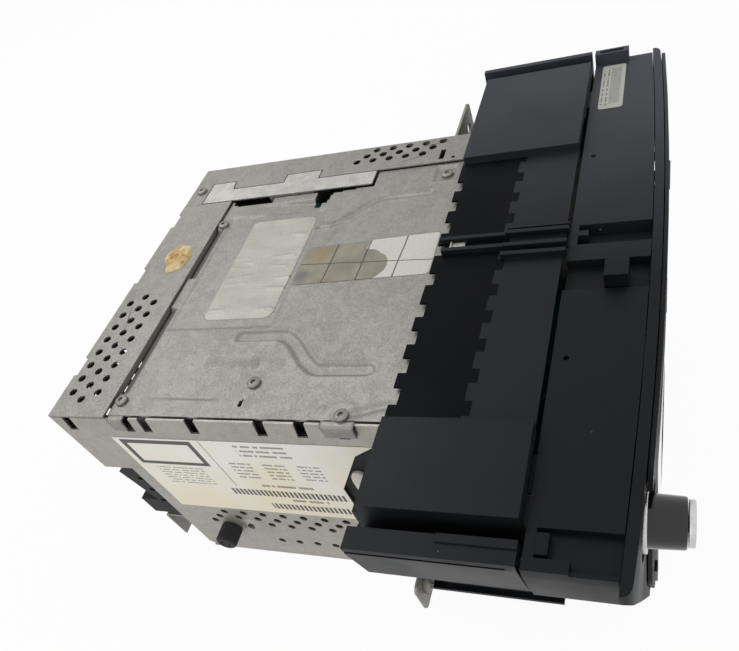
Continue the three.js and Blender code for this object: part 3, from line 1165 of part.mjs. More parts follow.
const ringBack = plateFront + bowAt(knob.x) + knob.well - gap / 6;
const ringFront = ringBack - knob.ringDepth;
{
  const centre = [knob.x, knob.z];
  add("knob_ring", tube("y", centre, knob.ringBore, knob.ringRadius, ringFront, ringBack, knobSides),
    silver);
  const encoderFront = front.seam + bowAt(knob.x) + gap;
  const reachOf = knob.base;
  const collar = tube("y", centre, knob.shaft + gap, knob.collar, encoderFront,
    encoderFront + overrun / 2);
  const casing = cut(block(knob.x - reachOf, knob.x + reachOf, encoderFront + overrun / 3,
    frontBoard.y - gap / 6, knob.z - reachOf, knob.z + reachOf),
  rod("y", centre, knob.shaft + gap, encoderFront - overrun, frontBoard.y - overrun / 2));
  add("encoder", join(casing, collar), brightSteel);
  const shaftFront = ringFront - knob.length / 2;
  const shaftBack = frontBoard.y - overrun / 2 - knob.push - gap;
  add("encoder_shaft", rod("y", centre, knob.shaft, shaftFront, shaftBack), silver);
  const skirt = ringFront + knob.ringDepth - knob.push - 2 * gap;
  const tip = ringFront - knob.length + knob.capThick + gap;
  const boreEnd = shaftFront - gap;
  const capHole = knob.pin + gap;
  add("volume_knob", turned("y", centre, [[knob.shaft + gap, skirt], [knob.base, skirt],
    [knob.base, ringFront - gap], [knob.tip + gap, tip + gap * 2], [knob.tip, tip], [capHole, tip],
    [capHole, tip + knob.capThick], [0, tip + knob.capThick], [0, boreEnd],
    [knob.shaft + gap, boreEnd]], knobSides), glossBlack);
  const end = tip - gap - knob.capThick;
  add("knob_cap", turned("y", centre, [[0, end + gap], [knob.face, end + gap],
    [knob.cap - gap, end], [knob.cap, end + gap], [knob.cap, tip - gap], [knob.pin, tip - gap],
    [knob.pin, tip + knob.capThick - gap], [0, tip + knob.capThick - gap]], knobSides),
  silver);
}

// Steel mounting ears on the chassis walls

const earDrop = 23.6;
const ear = { sheet: 1.5, rear: -22, flangeDepth: 12, farLow: belowTop(earDrop), farHeight: 20,
  farSpan: 38,
  nearLow: 3, nearHeight: 21, nearSpan: 22, holeIn: 9.6, hole: 3.2, corner: 3, screwHead: 5.4 };
{
  const makeEar = (side, foot, height, span) => {
    const wallX = side * (half + flushSeat);
    const endX = side * (half + span);
    const top = foot + height;
    const plate = prism("y", rounded(Math.min(wallX, endX), Math.max(wallX, endX), foot, top,
      ear.corner), ear.rear - ear.sheet, ear.rear);
    const innerX = wallX + side * ear.sheet;
    const flange = block(Math.min(wallX, innerX), Math.max(wallX, innerX), ear.rear - ear.sheet,
      ear.rear + ear.flangeDepth, foot + ear.corner, top - ear.corner);
    const hole = rod("y", [endX - side * ear.holeIn, foot + height / 2], ear.hole,
      ear.rear - overrun, ear.rear + overrun);
    return cut(join(plate, flange), hole);
  };
  add("far_ear", makeEar(1, ear.farLow, ear.farHeight, ear.farSpan), galvanised);
  add("near_ear", makeEar(-1, ear.nearLow, ear.nearHeight, ear.nearSpan), galvanised);
  const seat = ear.rear - ear.sheet - flushSeat;
  const spot = [ear.holeIn - half - ear.nearSpan, ear.nearLow + ear.nearHeight / 2];
  add("near_ear_screw", turned("y", spot, [[0, seat], [ear.screwHead, seat],
    [ear.screwHead, seat - ear.sheet], [ear.hole, seat - 2 * ear.sheet], [0, seat - 2 * ear.sheet]],
  arcSteps), brightSteel);
}

export default headUnit;
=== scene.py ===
# %% [markdown]
# # A car navigation head unit
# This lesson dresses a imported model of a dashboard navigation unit: a galvanised steel box with
# a disc mechanism, behind a wide front of black plastic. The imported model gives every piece
# its place. Here each piece gets the small shapes and the finish that make it look real.
# The frame has to come first, because every later piece rides on one of its bodies.

import json
import math

import bmesh
import bpy
import numpy as np
from mathutils import Matrix, Vector

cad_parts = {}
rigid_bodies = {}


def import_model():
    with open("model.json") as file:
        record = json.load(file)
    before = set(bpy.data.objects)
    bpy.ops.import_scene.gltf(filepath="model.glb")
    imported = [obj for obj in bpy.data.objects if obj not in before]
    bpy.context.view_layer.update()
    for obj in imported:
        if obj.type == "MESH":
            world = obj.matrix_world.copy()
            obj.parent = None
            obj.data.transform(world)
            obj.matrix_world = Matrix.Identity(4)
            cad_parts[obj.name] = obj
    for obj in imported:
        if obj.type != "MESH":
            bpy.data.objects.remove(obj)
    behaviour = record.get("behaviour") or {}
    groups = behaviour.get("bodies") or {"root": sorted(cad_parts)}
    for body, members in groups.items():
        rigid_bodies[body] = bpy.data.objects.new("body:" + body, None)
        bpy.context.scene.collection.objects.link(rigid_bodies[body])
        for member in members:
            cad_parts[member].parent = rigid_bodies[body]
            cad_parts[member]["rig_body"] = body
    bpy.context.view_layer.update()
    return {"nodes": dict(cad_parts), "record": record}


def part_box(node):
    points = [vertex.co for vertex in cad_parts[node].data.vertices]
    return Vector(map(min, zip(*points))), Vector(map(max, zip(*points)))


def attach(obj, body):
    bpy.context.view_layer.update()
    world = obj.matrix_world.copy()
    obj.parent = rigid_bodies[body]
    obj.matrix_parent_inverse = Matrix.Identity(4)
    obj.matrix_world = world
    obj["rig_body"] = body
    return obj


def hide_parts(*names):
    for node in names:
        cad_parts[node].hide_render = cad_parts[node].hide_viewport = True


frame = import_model()
slot_of = {part["node"]: part["material_slot"] for part in frame["record"]["subparts"]}
body_of = {name: node["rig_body"] for name, node in frame["nodes"].items()}

# %% [markdown]
# ## The camera
# The unit was seen from above its left rear corner. A camera has a place, a turn and a lens.
# The turn could be three angles, but one turn about one slanted axis is the same thing, and it
# is what a fit to known corners of the steel box gives. The shift slides the picture on the
# sensor, as a cropped photograph has it.

# %% Camera
MM = 0.001
axis_and_angle = Vector((1.83618, -1.57974, 0.2347))
turn_into_view = Matrix.Rotation(axis_and_angle.length, 3, axis_and_angle.normalized())
look = turn_into_view.transposed() @ Matrix.Diagonal((1, -1, -1))
lens = bpy.data.cameras.new("view_from_the_rear_left")
lens.sensor_width = 36
lens.lens = 32.835
lens.shift_x = -0.0341
lens.shift_y = 0.1191
camera = bpy.data.objects.new("view_from_the_rear_left", lens)
camera.matrix_world = Matrix.Translation(Vector((-216.28, -127.89, 298.83)) * MM) @ look.to_4x4()
bpy.context.scene.collection.objects.link(camera)
bpy.context.scene.camera = camera
print("camera at", np.round(camera.matrix_world.translation, 3), "m")

# %% [markdown]
# ## Nodes in a few words
# Every finish below is a small network of nodes. Writing each node out in full would hide the
# idea, so this helper adds a node with its inputs in one call. An input may be a number, a
# colour, or the output of another node, and then the two are joined.


# %% A helper for finishes
class Finish:
    """A material and the few calls that build its network."""

    def __init__(self, name, **settings):
        self.material = bpy.data.materials.new(name)
        self.material.use_nodes = True
        self.tree = self.material.node_tree
        self.shader = self.tree.nodes["Principled BSDF"]
        self.place = self.node("TexCoord").outputs["Object"]
        self.set(self.shader, settings)

    def set(self, node, values):
        """Inputs by name: an output is joined to the input, anything else becomes its value."""
        for name, value in values.items():
            socket = node.inputs[name.replace("_", " ") if isinstance(name, str) else name]
            if isinstance(value, bpy.types.NodeSocket):
                self.tree.links.new(value, socket)
            else:
                socket.default_value = value

    def node(self, kind, inputs=None, **properties):
        made = self.tree.nodes.new("ShaderNode" + kind)
        for name, value in properties.items():
            setattr(made, name, value)
        self.set(made, inputs or {})
        return made

    def noise(self, scale, detail=2.0, place=None, stretch=None):
        """Cloudy values around one half. The scale is in clouds per metre."""
        where = place or self.place
        if stretch:
            where = self.node("Mapping", {"Vector": where, "Scale": stretch}).outputs[0]
        inputs = {"Vector": where, "Scale": scale, "Detail": detail}
        return self.node("TexNoise", inputs).outputs["Fac"]

    def cells(self, scale, feature="F1", output="Distance", place=None):
        inputs = {"Vector": place or self.place, "Scale": scale}
        return self.node("TexVoronoi", inputs, feature=feature).outputs[output]

    def ranged(self, value, low, high, to_low=0.0, to_high=1.0):
        """Stretches low..high to to_low..to_high and holds it at the ends."""
        inputs = {"Value": value, "From Min": low, "From Max": high, "To Min": to_low,
                  "To Max": to_high}
        return self.node("MapRange", inputs).outputs[0]

    def sums(self, operation, first, second=0.0):
        return self.node("Math", {0: first, 1: second}, operation=operation).outputs[0]

    def parts(self, vector=None):
        """The three numbers of a place, in metres."""
        return self.node("SeparateXYZ", {0: vector or self.place}).outputs

    def ramp(self, value, stops):
        """Colours along a value: each stop is a position and a colour."""
        made = self.node("ValToRGB", {"Fac": value})
        band = made.color_ramp
        while len(band.elements) < len(stops):
            band.elements.new(1.0)
        for element, (position, colour) in zip(band.elements, stops):
            element.position = position
            element.color = (*colour, 1.0)
        return made.outputs["Color"]

    def blend(self, share, first, second):
        """The first colour where the share is 0 and the second where it is 1."""
        made = self.node("Mix", data_type="RGBA")
        for index, value in ((0, share), (6, first), (7, second)):
            if isinstance(value, bpy.types.NodeSocket):
                self.tree.links.new(value, made.inputs[index])
            elif index:
                made.inputs[index].default_value = (*value, 1.0)
            else:
                made.inputs[index].default_value = value
        return made.outputs[2]

    def bump(self, height, depth, strength=1.0, under=None):
        """Small relief from a height of 0 to 1, with its depth in metres."""
        inputs = {"Height": height, "Distance": depth, "Strength": strength}
        if under:
            inputs["Normal"] = under
        return self.node("Bump", inputs).outputs[0]

    def within(self, value, low, high):
        """1 where the value lies between low and high, else 0."""
        above = self.sums("GREATER_THAN", value, low)
        below = self.sums("LESS_THAN", value, high)
        return self.sums("MULTIPLY", above, below)

    def both(self, first, second):
        return self.sums("MULTIPLY", first, second)

    def either(self, *shares):
        total = shares[0]
        for share in shares[1:]:
            total = self.sums("MAXIMUM", total, share)
        return total

    def done(self, **inputs):
        self.set(self.shader, inputs)
        return self.material


print("the helper is ready")

# %% [markdown]
# ## Sheet steel
# The box is galvanised sheet: steel dipped in zinc. Zinc dulls to a warm grey with a fine
# speckle, and at a larger scale it has pale and dark clouds. A fine noise, a wide noise and a
# pattern of crystal cells, mixed into one value, give the colour, and the same value roughens
# the shine a little. The tray's sheet is a little paler than the lid's and the strips'.


# %% Galvanised sheet
def zinc(name, dark, pale, speckle=1500):
    """Colour and roughness from a fine speckle, crystal cells and wide clouds."""
    f = Finish(name, Metallic=0.9)
    fine = f.noise(speckle, 3)
    crystal = f.cells(260, output="Color")
    clouds = f.noise(22, 4)
    crystal_value = f.node("SeparateColor", {0: crystal}).outputs[0]
    mixed = f.sums("ADD", f.sums("MULTIPLY", fine, 0.70), f.sums("MULTIPLY", clouds, 0.20))
    mixed = f.sums("ADD", mixed, f.sums("MULTIPLY", crystal_value, 0.10))
    colour = f.ramp(f.ranged(mixed, 0.38, 0.62), [(0.0, dark), (1.0, pale)])
    stain = f.ranged(f.noise(60, 5), 0.60, 0.74, 0.0, 0.22)
    colour = f.blend(stain, colour, tuple(0.62 * c for c in dark))
    rough = f.ranged(mixed, 0.35, 0.65, 0.58, 0.47)
    relief = f.bump(f.noise(speckle * 0.7, 2), 0.00006, 0.5)
    wide = f.bump(f.noise(16, 1), 0.0010, 0.18, under=relief)
    return f.done(Base_Color=colour, Roughness=rough, Normal=wide)


galvanised = zinc("galvanised_sheet", (0.224, 0.218, 0.201), (0.292, 0.285, 0.264))
wall_sheet = zinc("wall_sheet", (0.315, 0.302, 0.272), (0.400, 0.386, 0.352))
bright_steel = zinc("bright_folded_steel", (0.34, 0.335, 0.315), (0.50, 0.495, 0.47), 1900)
print(galvanised.name, wall_sheet.name, bright_steel.name)

# %% [markdown]
# ## Black plastic
# The front is moulded from a dark grey-blue plastic. It isn't one flat colour: the mould's
# fine grain breaks up the light, handling leaves duller patches, and pale dust sits on it in
# single crumbs. The crumbs are cells of which only the very middle is pale. Towards the right
# end a grey-blue tint is blended in as painted sheen, in place of the reflection there.


# %% Black plastic
# A grey-blue tint. Along X it is painted sheen in place of the reflection at the right end; in the
# arch it also makes faint wide patches of dust.
dust_and_painted_sheen = (0.105, 0.115, 0.140)


def crumbed(f, colour, pale, crumbs, sizes, smallest, widest):
    """The colour with crumbs of dust on it, and a value that is 1 on each crumb. A crumb is the
    part of a cell that lies nearer to its middle than a size that a noise changes."""
    size = f.ranged(f.noise(sizes, 1), smallest, 0.7, 0.0, widest)
    is_dust = f.sums("LESS_THAN", f.cells(crumbs), size)
    return f.blend(f.both(is_dust, 0.5), colour, pale), is_dust


def moulded(name, colour, rough=(0.40, 0.55), dust=0.045, dust_and_sheen_share=0.5):
    """Grained plastic: patches change the roughness, and a grey-blue painted sheen grows along X.
    """
    f = Finish(name, IOR=1.46, Specular_IOR_Level=0.14)
    x = f.parts()[0]
    patches = f.noise(28, 4)
    tint = f.ramp(patches, [(0.35, tuple(0.82 * c for c in colour)),
                            (0.65, tuple(1.22 * c for c in colour))])
    tint, is_dust = crumbed(f, tint, (0.42, 0.40, 0.36), 95, 400, 0.4, dust)
    # Painted sheen: towards the right end the colour is blended into the grey-blue tint, in place
    # of the reflection seen at a grazing view.
    tint = f.blend(f.ranged(x, -0.02, 0.13, 0.0, dust_and_sheen_share), tint, dust_and_painted_sheen)
    roughness = f.sums("ADD", f.ranged(patches, 0.35, 0.65, *rough), f.both(is_dust, 0.3))
    grain = f.bump(f.noise(2600, 2), 0.00004, 0.7)
    return f.done(Base_Color=tint, Roughness=roughness, Normal=grain)


black_plastic = moulded("grained_black_plastic", (0.0058, 0.0066, 0.0082))
inner_plastic = moulded("plain_black_plastic", (0.0062, 0.0067, 0.0075), (0.45, 0.6), 0.0, 0.0)
print(black_plastic.name, inner_plastic.name)

# %% [markdown]
# The arch behind the front has one more feature. The rear half of its low panel is darker,
# rougher and less shiny than the rest, and the border between the two halves is stepped like
# the teeth on its rear edge. A square wave along X moves the border back and forth.


# %% Plastic of the rear arch
tooth_pitch = 0.0144


def arch_plastic():
    """The stepped rear part of the low panel is dark and dull, and the painted sheen spares it."""
    f = Finish("arch_plastic", IOR=1.46)
    x, y, z = f.parts()
    patches = f.noise(26, 4)
    wave = f.sums("FRACT", f.sums("MULTIPLY", x, 1 / tooth_pitch))
    border = f.ranged(f.sums("GREATER_THAN", wave, 0.45), 0, 1, -0.0650, -0.0620)
    behind = f.sums("GREATER_THAN", y, border)
    on_panel = f.within(x, -0.0896, 0.0614)
    low = f.sums("LESS_THAN", z, 0.1232)
    # The rear part behind the stepped border is darker, rougher and less shiny than the front part.
    stepped_rear = f.both(f.both(behind, on_panel), low)
    front_tone = f.ramp(patches, [(0.3, (0.0068, 0.0076, 0.0092)), (0.7, (0.0112, 0.0122, 0.0144))])
    rear_tone = f.ramp(patches, [(0.3, (0.0020, 0.0024, 0.0034)), (0.7, (0.0045, 0.0050, 0.0064))])
    colour = f.blend(stepped_rear, front_tone, rear_tone)
    colour = crumbed(f, colour, (0.40, 0.38, 0.34), 110, 380, 0.42, 0.055)[0]
    # Painted sheen: along X the colour is blended into the grey-blue tint, except on the darker
    # rear part; faint wide noise patches add dust.
    dust_and_sheen_share = f.sums("ADD", f.ranged(f.noise(9, 2), 0.45, 0.65, 0.0, 0.04),
                  f.both(f.ranged(x, 0.02, 0.14, 0.0, 0.32), f.sums("SUBTRACT", 1.0, stepped_rear)))
    colour = f.blend(dust_and_sheen_share, colour, dust_and_painted_sheen)
    gloss = f.ranged(patches, 0.35, 0.65, 0.36, 0.52)
    roughness = f.sums("ADD", gloss, f.both(stepped_rear, 0.12))
    scratches = f.noise(300, 2, stretch=(1.0, 0.08, 1.0))
    scratch_relief = f.bump(f.ranged(scratches, 0.62, 0.70), 0.00002, 0.5)
    grain = f.bump(f.noise(2400, 2), 0.00004, 0.7, under=scratch_relief)
    level = f.ranged(stepped_rear, 0.0, 1.0, 0.15, 0.05)
    return f.done(Base_Color=colour, Roughness=roughness, Normal=grain,
                  Specular_IOR_Level=level)


arch_black = arch_plastic()
print(arch_black.name)

# %% [markdown]
# ## The small finishes
# The knob and the keys are polished plastic, the ring and cap of the knob are satin plating,
# the bush is rubber and the boards are green lacquer over copper lines.
# Each of them still varies a little, because an even surface is what gives a render away.


# %% Polished plastic, plating, rubber and glass
def polished():
    f = Finish("polished_black", IOR=1.5, Coat_Weight=0.1, Coat_Roughness=0.06)
    smears = f.noise(35, 5)
    colour = f.ramp(smears, [(0.3, (0.0025, 0.0025, 0.0030)), (0.75, (0.0065, 0.0065, 0.0075))])
    rough = f.ranged(smears, 0.4, 0.75, 0.10, 0.24)
    return f.done(Base_Color=colour, Roughness=rough, Normal=f.bump(f.noise(500, 1), 0.00001, 0.4))


def satin_plating():
    f = Finish("satin_plating", Metallic=1.0)
    lines = f.noise(900, 3, stretch=(1.0, 6.0, 1.0))
    colour = f.ramp(lines, [(0.3, (0.50, 0.50, 0.515)), (0.7, (0.66, 0.66, 0.675))])
    rough = f.ranged(f.noise(70, 3), 0.35, 0.65, 0.20, 0.34)
    return f.done(Base_Color=colour, Roughness=rough, Normal=f.bump(lines, 0.00002, 0.4))


def rubber():
    f = Finish("dull_rubber")
    bloom = f.noise(120, 4)
    colour = f.ramp(bloom, [(0.35, (0.012, 0.012, 0.013)), (0.7, (0.034, 0.034, 0.036))])
    rough = f.ranged(bloom, 0.3, 0.7, 0.72, 0.9)
    return f.done(Base_Color=colour, Roughness=rough, Normal=f.bump(f.noise(1500, 2), 0.00006, 0.6))


def dark_glass():
    f = Finish("dark_glass", IOR=1.5, Specular_IOR_Level=0.25)
    smear = f.noise(30, 4, stretch=(1.0, 1.0, 0.4))
    colour = f.ramp(smear, [(0.3, (0.0040, 0.0048, 0.0070)), (0.8, (0.0085, 0.0095, 0.0125))])
    return f.done(Base_Color=colour, Roughness=f.ranged(smear, 0.45, 0.75, 0.03, 0.10))


gloss_black = polished()
silver = satin_plating()
black_rubber = rubber()
screen_black = dark_glass()
print(gloss_black.name, silver.name, black_rubber.name, screen_black.name)


# %% Board lacquer, aluminium, felt and the stud's plastic
def board_lacquer():
    """Green lacquer: wavy bands are copper lines under it, and small cells are solder."""
    f = Finish("green_board", IOR=1.5)
    bands = f.node("TexWave", {"Vector": f.place, "Scale": 130.0, "Distortion": 9.0,
                               "Detail": 1.0, "Detail Scale": 3.0}).outputs["Fac"]
    copper = f.sums("GREATER_THAN", bands, 0.72)
    # Both greens are painted lighter than the board's own dark green, as painted light, because the
    # board lies in shade below the cover's windows.
    colour = f.blend(copper, (0.0120, 0.0950, 0.0740), (0.0240, 0.1600, 0.1240))
    solder = f.sums("LESS_THAN", f.cells(330), 0.16)
    colour = f.blend(f.both(solder, 0.8), colour, (0.36, 0.37, 0.36))
    rough = f.ranged(f.noise(90, 3), 0.3, 0.7, 0.28, 0.44)
    return f.done(Base_Color=colour, Roughness=rough, Normal=f.bump(bands, 0.00004, 0.5))


def drawn_aluminium():
    f = Finish("drawn_aluminium", Metallic=1.0)
    lines = f.noise(1200, 3, stretch=(1.0, 1.0, 0.03))
    colour = f.ramp(lines, [(0.3, (0.36, 0.36, 0.37)), (0.7, (0.52, 0.52, 0.53))])
    rough = f.ranged(lines, 0.3, 0.7, 0.30, 0.45)
    return f.done(Base_Color=colour, Roughness=rough, Normal=f.bump(lines, 0.00003, 0.5))


def felt():
    f = Finish("black_felt", Sheen_Weight=0.5, Sheen_Roughness=0.6)
    fibres = f.noise(3200, 3)
    colour = f.ramp(fibres, [(0.3, (0.006, 0.006, 0.0065)), (0.75, (0.022, 0.022, 0.024))])
    return f.done(Base_Color=colour, Roughness=f.ranged(fibres, 0, 1, 0.9, 1.0),
                  Normal=f.bump(fibres, 0.0002, 0.8))


def pale_plastic():
    f = Finish("pale_stud_plastic", IOR=1.48)
    patches = f.noise(180, 3)
    colour = f.ramp(patches, [(0.3, (0.52, 0.50, 0.46)), (0.7, (0.66, 0.645, 0.60))])
    return f.done(Base_Color=colour, Roughness=f.ranged(patches, 0.3, 0.7, 0.35, 0.5),
                  Normal=f.bump(f.noise(900, 2), 0.00004, 0.5))


circuit = board_lacquer()
aluminium = drawn_aluminium()
black_felt = felt()
stud_plastic = pale_plastic()
print(circuit.name, aluminium.name, black_felt.name, stud_plastic.name)


# %% [markdown]
# ## Meshes from arrays
# A surface is a function of two parameters: for every pair (i, j) it gives a point. Numpy works
# out all the points at once, and the faces join each point to its neighbours in both
# directions. Where a surface goes round, its last column joins its first again.


# %% Helpers that turn arrays into pieces
def wrapped_faces(rows, columns, round_rows=False, round_columns=False):
    """Each face joins (i, j), (i+1, j), (i+1, j+1) and (i, j+1)."""
    index = np.arange(rows * columns).reshape(rows, columns)
    if round_rows:
        index = np.vstack([index, index[:1]])
    if round_columns:
        index = np.hstack([index, index[:, :1]])
    corners = (index[:-1, :-1], index[1:, :-1], index[1:, 1:], index[:-1, 1:])
    return np.stack(corners, axis=-1).reshape(-1, 4)


def new_mesh(name, points, faces):
    """Points are in millimetres. Doubled points are merged and the faces turned outwards."""
    mesh = bpy.data.meshes.new(name)
    mesh.from_pydata((points.reshape(-1, 3) * MM).tolist(), [], faces.tolist())
    shape = bmesh.new()
    shape.from_mesh(mesh)
    bmesh.ops.remove_doubles(shape, verts=shape.verts, dist=1e-6)
    bmesh.ops.dissolve_degenerate(shape, edges=shape.edges, dist=1e-7)
    bmesh.ops.recalc_face_normals(shape, faces=shape.faces)
    shape.to_mesh(mesh)
    shape.free()
    return mesh


def show(name, mesh, node, material, angle=35, stands_for=True):
    """Adds a piece that rides with a node's body, and hides the node if it stands for it."""
    piece = bpy.data.objects.new(name, mesh)
    bpy.context.scene.collection.objects.link(piece)
    mesh.materials.clear()
    mesh.materials.append(material)
    mesh.shade_smooth()
    mesh.set_sharp_from_angle(angle=math.radians(angle))
    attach(piece, body_of[node])
    if stands_for:
        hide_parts(node)
    return piece


def settle(piece):
    """Puts the result of a piece's modifiers into its mesh."""
    graph = bpy.context.evaluated_depsgraph_get()
    finished = bpy.data.meshes.new_from_object(piece.evaluated_get(graph))
    piece.modifiers.clear()
    piece.data = finished
    return piece


def face_up(mesh):
    """Turns the whole sheet over if its first face looks down."""
    if mesh.polygons[0].normal.z < 0:
        mesh.flip_normals()
    return mesh


def thickened(piece, thickness):
    """Gives a sheet its thickness, in millimetres, on the side that it turns away."""
    sheet = piece.modifiers.new("sheet thickness", "SOLIDIFY")
    sheet.thickness = thickness * MM
    sheet.offset = -1
    return settle(piece)


def lathe(profile, axis, centre, sides=64):
    """Turns a profile of (radius, place along the axis) pairs about an axis.
    Point (i, j) lies at radius i in the direction of angle j."""
    radius, along = np.array(profile, float).T
    angle = np.linspace(0, 2 * np.pi, sides, endpoint=False)
    first = radius[:, None] * np.cos(angle)
    second = radius[:, None] * np.sin(angle)
    length = np.repeat(along[:, None], sides, axis=1)
    a, b = centre
    order = {"x": (length, first + a, second + b), "y": (first + a, length, second + b),
             "z": (first + a, second + b, length)}
    points = np.stack(order[axis], axis=-1)
    return points, wrapped_faces(len(radius), sides, round_columns=True)


def ease(value):
    """0 below 0, 1 above 1, and a smooth S between them: 3t squared less 2t cubed."""
    t = np.clip(value, 0, 1)
    return t * t * (3 - 2 * t)


print("surface helpers are ready")

# %% [markdown]
# ## Broken edges
# No real edge is perfectly sharp: folded sheet has a small radius and moulded plastic a larger
# one, and that radius is what catches the light. A bevel could be typed on every face by
# hand, but a modifier finds the sharp edges itself. It works on a copy of the packed
# mesh whose loose triangles are merged back into whole faces first.


# %% Edge-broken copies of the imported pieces
def dressed(node, material, radius, segments=2, angle=28):
    """A copy of a node, merged into whole faces, with its sharp edges rounded."""
    mesh = frame["nodes"][node].data.copy()
    if "custom_normal" in mesh.attributes:
        mesh.attributes.remove(mesh.attributes["custom_normal"])
    shape = bmesh.new()
    shape.from_mesh(mesh)
    bmesh.ops.remove_doubles(shape, verts=shape.verts, dist=2e-6)
    bmesh.ops.dissolve_limit(shape, angle_limit=math.radians(0.5), verts=shape.verts,
                             edges=shape.edges)
    shape.to_mesh(mesh)
    shape.free()
    piece = show(node + "_dressed", mesh, node, material)
    bevel = piece.modifiers.new("broken edges", "BEVEL")
    bevel.width = radius * MM
    bevel.segments = segments
    bevel.limit_method = "ANGLE"
    bevel.angle_limit = math.radians(angle)
    bevel.use_clamp_overlap = True
    flat = piece.modifiers.new("flat faces stay flat", "WEIGHTED_NORMAL")
    flat.keep_sharp = True
    return settle(piece)


sheet_nodes = ["chassis_tray", "rear_wall", "rear_bracket", "rear_top_strip", "side_top_strip",
               "far_ear", "near_ear"]
for node in sheet_nodes:
    made = dressed(node, wall_sheet if node == "chassis_tray" else galvanised, 0.22)
    print(made.name, len(made.data.polygons), "faces")

# %% [markdown]
# The plastic pieces take a wider radius. The fascia and the bezel in front of it are bowed,
# so their long edges are chains of short ones, and two segments are enough there.

# %% Plastic pieces and inner pieces
plastic_radius = {"rear_shroud": 0.45, "front_frame": 0.4, "fascia_plate": 0.4,
                  "rear_connector": 0.4, "side_guard": 0.3}
plastic_finish = {"rear_shroud": arch_black, "front_frame": black_plastic,
                  "fascia_plate": black_plastic, "rear_connector": inner_plastic,
                  "side_guard": inner_plastic}
for node, radius in plastic_radius.items():
    made = dressed(node, plastic_finish[node], radius)
    print(made.name, len(made.data.polygons), "faces")

other_finishes = {"front_bezel": (black_plastic, 0.5), "heat_sink": (aluminium, 0.3),
                  "aerial_socket": (silver, 0.25), "mechanism_side_plate": (bright_steel, 0.2),
                  "mechanism_deck": (bright_steel, 0.25), "earth_clip": (bright_steel, 0.15),
                  "encoder": (bright_steel, 0.3), "spindle_motor": (aluminium, 0.4),
                  "turntable": (inner_plastic, 0.4), "laser_sled": (inner_plastic, 0.4),
                  "guide_rod_left": (silver, 0.2), "guide_rod_right": (silver, 0.2),
                  "encoder_shaft": (silver, 0.2), "loading_roller": (black_rubber, 0.4),
                  "amplifier_chip": (inner_plastic, 0.3), "display_panel": (bright_steel, 0.4),
                  "screen_glass": (screen_black, 0.2), "slot_felt": (black_felt, 0.15)}
for node, (material, radius) in other_finishes.items():
    dressed(node, material, radius)
for node in slot_of:
    if "_key" in node:
        dressed(node, gloss_black, 0.35)
print(len(other_finishes), "other pieces and the keys are dressed")

# %% [markdown]
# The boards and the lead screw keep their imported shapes, because a flat board has nothing to
# round and the screw's ridges are already there. They only take a finish.

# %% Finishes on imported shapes
for node, material in {"main_board": circuit, "servo_board": circuit, "front_board": circuit,
                       "lead_screw": silver}.items():
    mesh = frame["nodes"][node].data
    mesh.materials.clear()
    mesh.materials.append(material)
    print(node, "takes", material.name)

# %% [markdown]
# ## The pressed cover
# The lid over the disc mechanism is one thin sheet with shapes pressed into it: two long
# S-shaped beads that stiffen it, two ramps, a shallow panel round the foil and a square pan
# for a screw. All of them change only the height of the sheet, so the lid is a height field:
# z is a function of x and y. Each pressing is a smooth dip that depends on the distance
# to its own path or box.


# %% Distances that the pressings use
def path_distance(x, y, path):
    """The distance from each point to the nearest place on a chain of straight pieces."""
    path = np.array(path, float)
    nearest = np.full(x.shape, 1e9)
    for (ax, ay), (bx, by) in zip(path[:-1], path[1:]):
        length = (bx - ax) ** 2 + (by - ay) ** 2
        share = np.clip(((x - ax) * (bx - ax) + (y - ay) * (by - ay)) / length, 0, 1)
        nearest = np.minimum(nearest, np.hypot(x - ax - share * (bx - ax),
                                               y - ay - share * (by - ay)))
    return nearest


def box_distance(x, y, left, right, front, rear):
    """How far a point is outside a rectangle, or below zero how far it is inside."""
    dx = np.maximum(left - x, x - right)
    dy = np.maximum(front - y, y - rear)
    outside = np.hypot(np.maximum(dx, 0), np.maximum(dy, 0))
    return outside + np.minimum(np.maximum(dx, dy), 0)


def dip(distance, half, slope):
    """1 where the distance is under half less the slope, falling smoothly to 0 at half."""
    return 1 - ease((distance - half + slope) / slope)


def sway(x, start, bend_start, bend_end, end, reach, steps=28):
    """A path along Y that moves sideways by reach between the two ends of its bend."""
    share = np.linspace(0, 1, steps)
    bend = np.stack([x + reach * ease(share), bend_start + (bend_end - bend_start) * share], 1)
    return np.vstack([[x, start], bend, [x + reach, end]])


near_bead = sway(-44.2, 46.0, 26.0, 1.0, -20.0, -19.3)
far_bead = sway(28.4, 33.0, 29.0, 2.0, -20.0, 17.5)
print(len(near_bead), "points on each bead's path")


# %% The height of the pressed sheet
COVER_TOP = 120.4


